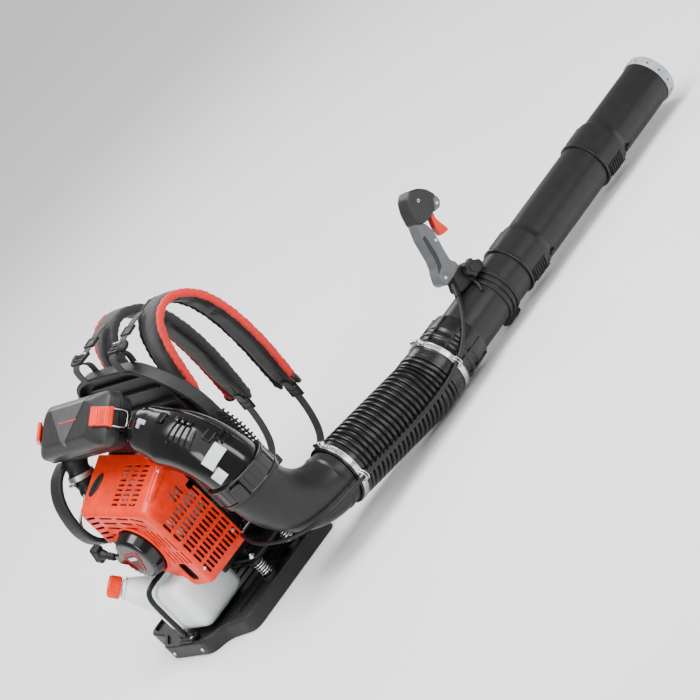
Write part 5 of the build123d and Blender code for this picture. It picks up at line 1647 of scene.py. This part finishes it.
def build_hoop():
    route = [(8, -117, 26), (8.5, -117.3, 60), (9.4, -117.5, 100), (10, -117, 128), (10.4, -110, 144),
             (11, -92, 148), (11.6, -70, 147.5), (12, -48, 147)]
    piece(tube(smooth_line(route, 10), 5, 28), "hoop_bar", "machine", "dark_steel", ["guard_hoop"],
          crisp=False)


def softened_nodes(names, width):
    """Rounds the edges of CAD nodes that stay in view."""
    for name in names:
        obj = frame["nodes"][name]
        weld = obj.modifiers.new("weld", "WELD")
        weld.merge_threshold = 1e-5
        bevel = obj.modifiers.new("edges", "BEVEL")
        bevel.width = width * MM
        bevel.segments = 2
        bevel.limit_method = "ANGLE"
        bevel.angle_limit = radians(40)
        bevel.harden_normals = True


# ---- floor, lights and camera ----
def build_stage():
    half = 30000
    floor = add([(-half, -half, 0), (half, -half, 0), (half, half, 0), (-half, half, 0)], [(0, 1, 2, 3)])
    finish = Finish("floor", (0.9, 0.9, 0.905), 0.6)
    finish.tint(finish.noise(900, 2), 0.985, 1.015)
    finish.uneven(finish.noise(300, 3), 0.05)
    floor.name = "floor"
    floor.data.materials.append(finish.material)


def area_light(name, place, aim, size, power, colour=(1, 1, 1)):
    data = bpy.data.lights.new(name, "AREA")
    data.shape = "RECTANGLE"
    data.size, data.size_y = size
    data.energy = power
    data.color = colour
    lamp = bpy.data.objects.new(name, data)
    bpy.context.scene.collection.objects.link(lamp)
    lamp.location = place
    lamp.rotation_euler = (Vector(aim) - Vector(place)).to_track_quat("-Z", "Y").to_euler()


def build_lights():
    world = bpy.data.worlds.new("studio")
    world.use_nodes = True
    world.node_tree.nodes["Background"].inputs["Color"].default_value = (1, 1, 1, 1)
    world.node_tree.nodes["Background"].inputs["Strength"].default_value = 0.42
    bpy.context.scene.world = world
    aim = (0.1, 0.2, 0.25)
    area_light("overhead", (0.4, 0.2, 3.2), aim, (2.4, 1.4), 150)
    area_light("left", (1.2, -2.8, 1.6), aim, (1.0, 1.8), 60)
    area_light("right", (3.2, 1.6, 1.8), aim, (0.8, 2.0), 60)
    area_light("behind", (-2.2, 1.4, 2.0), aim, (1.8, 1.2), 40)
    sun = bpy.data.lights.new("sky", "SUN")
    sun.energy = 1.6
    sun.angle = radians(70)
    lamp = bpy.data.objects.new("sky", sun)
    bpy.context.scene.collection.objects.link(lamp)
    lamp.rotation_euler = (radians(12), radians(18), 0)


def build_camera():
    """Long lens from the wearer's right and behind, rolled so that the object stands on a corner."""
    azimuth, elevation, roll = radians(62), radians(16.8), radians(44.4)
    right = Vector((cos(azimuth), sin(azimuth), 0))
    back = Vector((sin(azimuth) * cos(elevation), -cos(azimuth) * cos(elevation),
                   sin(elevation)))
    up = back.cross(right)
    side = right * cos(roll) - up * sin(roll)
    data = bpy.data.cameras.new("camera")
    data.lens, data.sensor_width = 164.6, 36
    data.clip_end = 200
    camera = bpy.data.objects.new("camera", data)
    bpy.context.scene.collection.objects.link(camera)
    rotation = Matrix((side, back.cross(side), back)).transposed()
    camera.matrix_world = Matrix.Translation((5.0272, -2.1492, 1.8304)) @ rotation.to_4x4()
    bpy.context.scene.camera = camera


finish_frame()
build_tube()
build_elbow()
build_fan_case()
build_engine_cover()
build_air_cleaner()
build_starter()
build_tank()
build_panel()
build_intake_comb()
build_base()
build_mounts()
build_straps()
build_back_pad()
build_engine()
build_boot()
build_left_guard()
build_hoop()
softened_nodes(["crankcase", "throttle_lever", "choke_lever", "air_filter", "impeller", "flywheel"], 0.5)
build_handle()
build_cable()
build_stage()
build_lights()
build_camera()
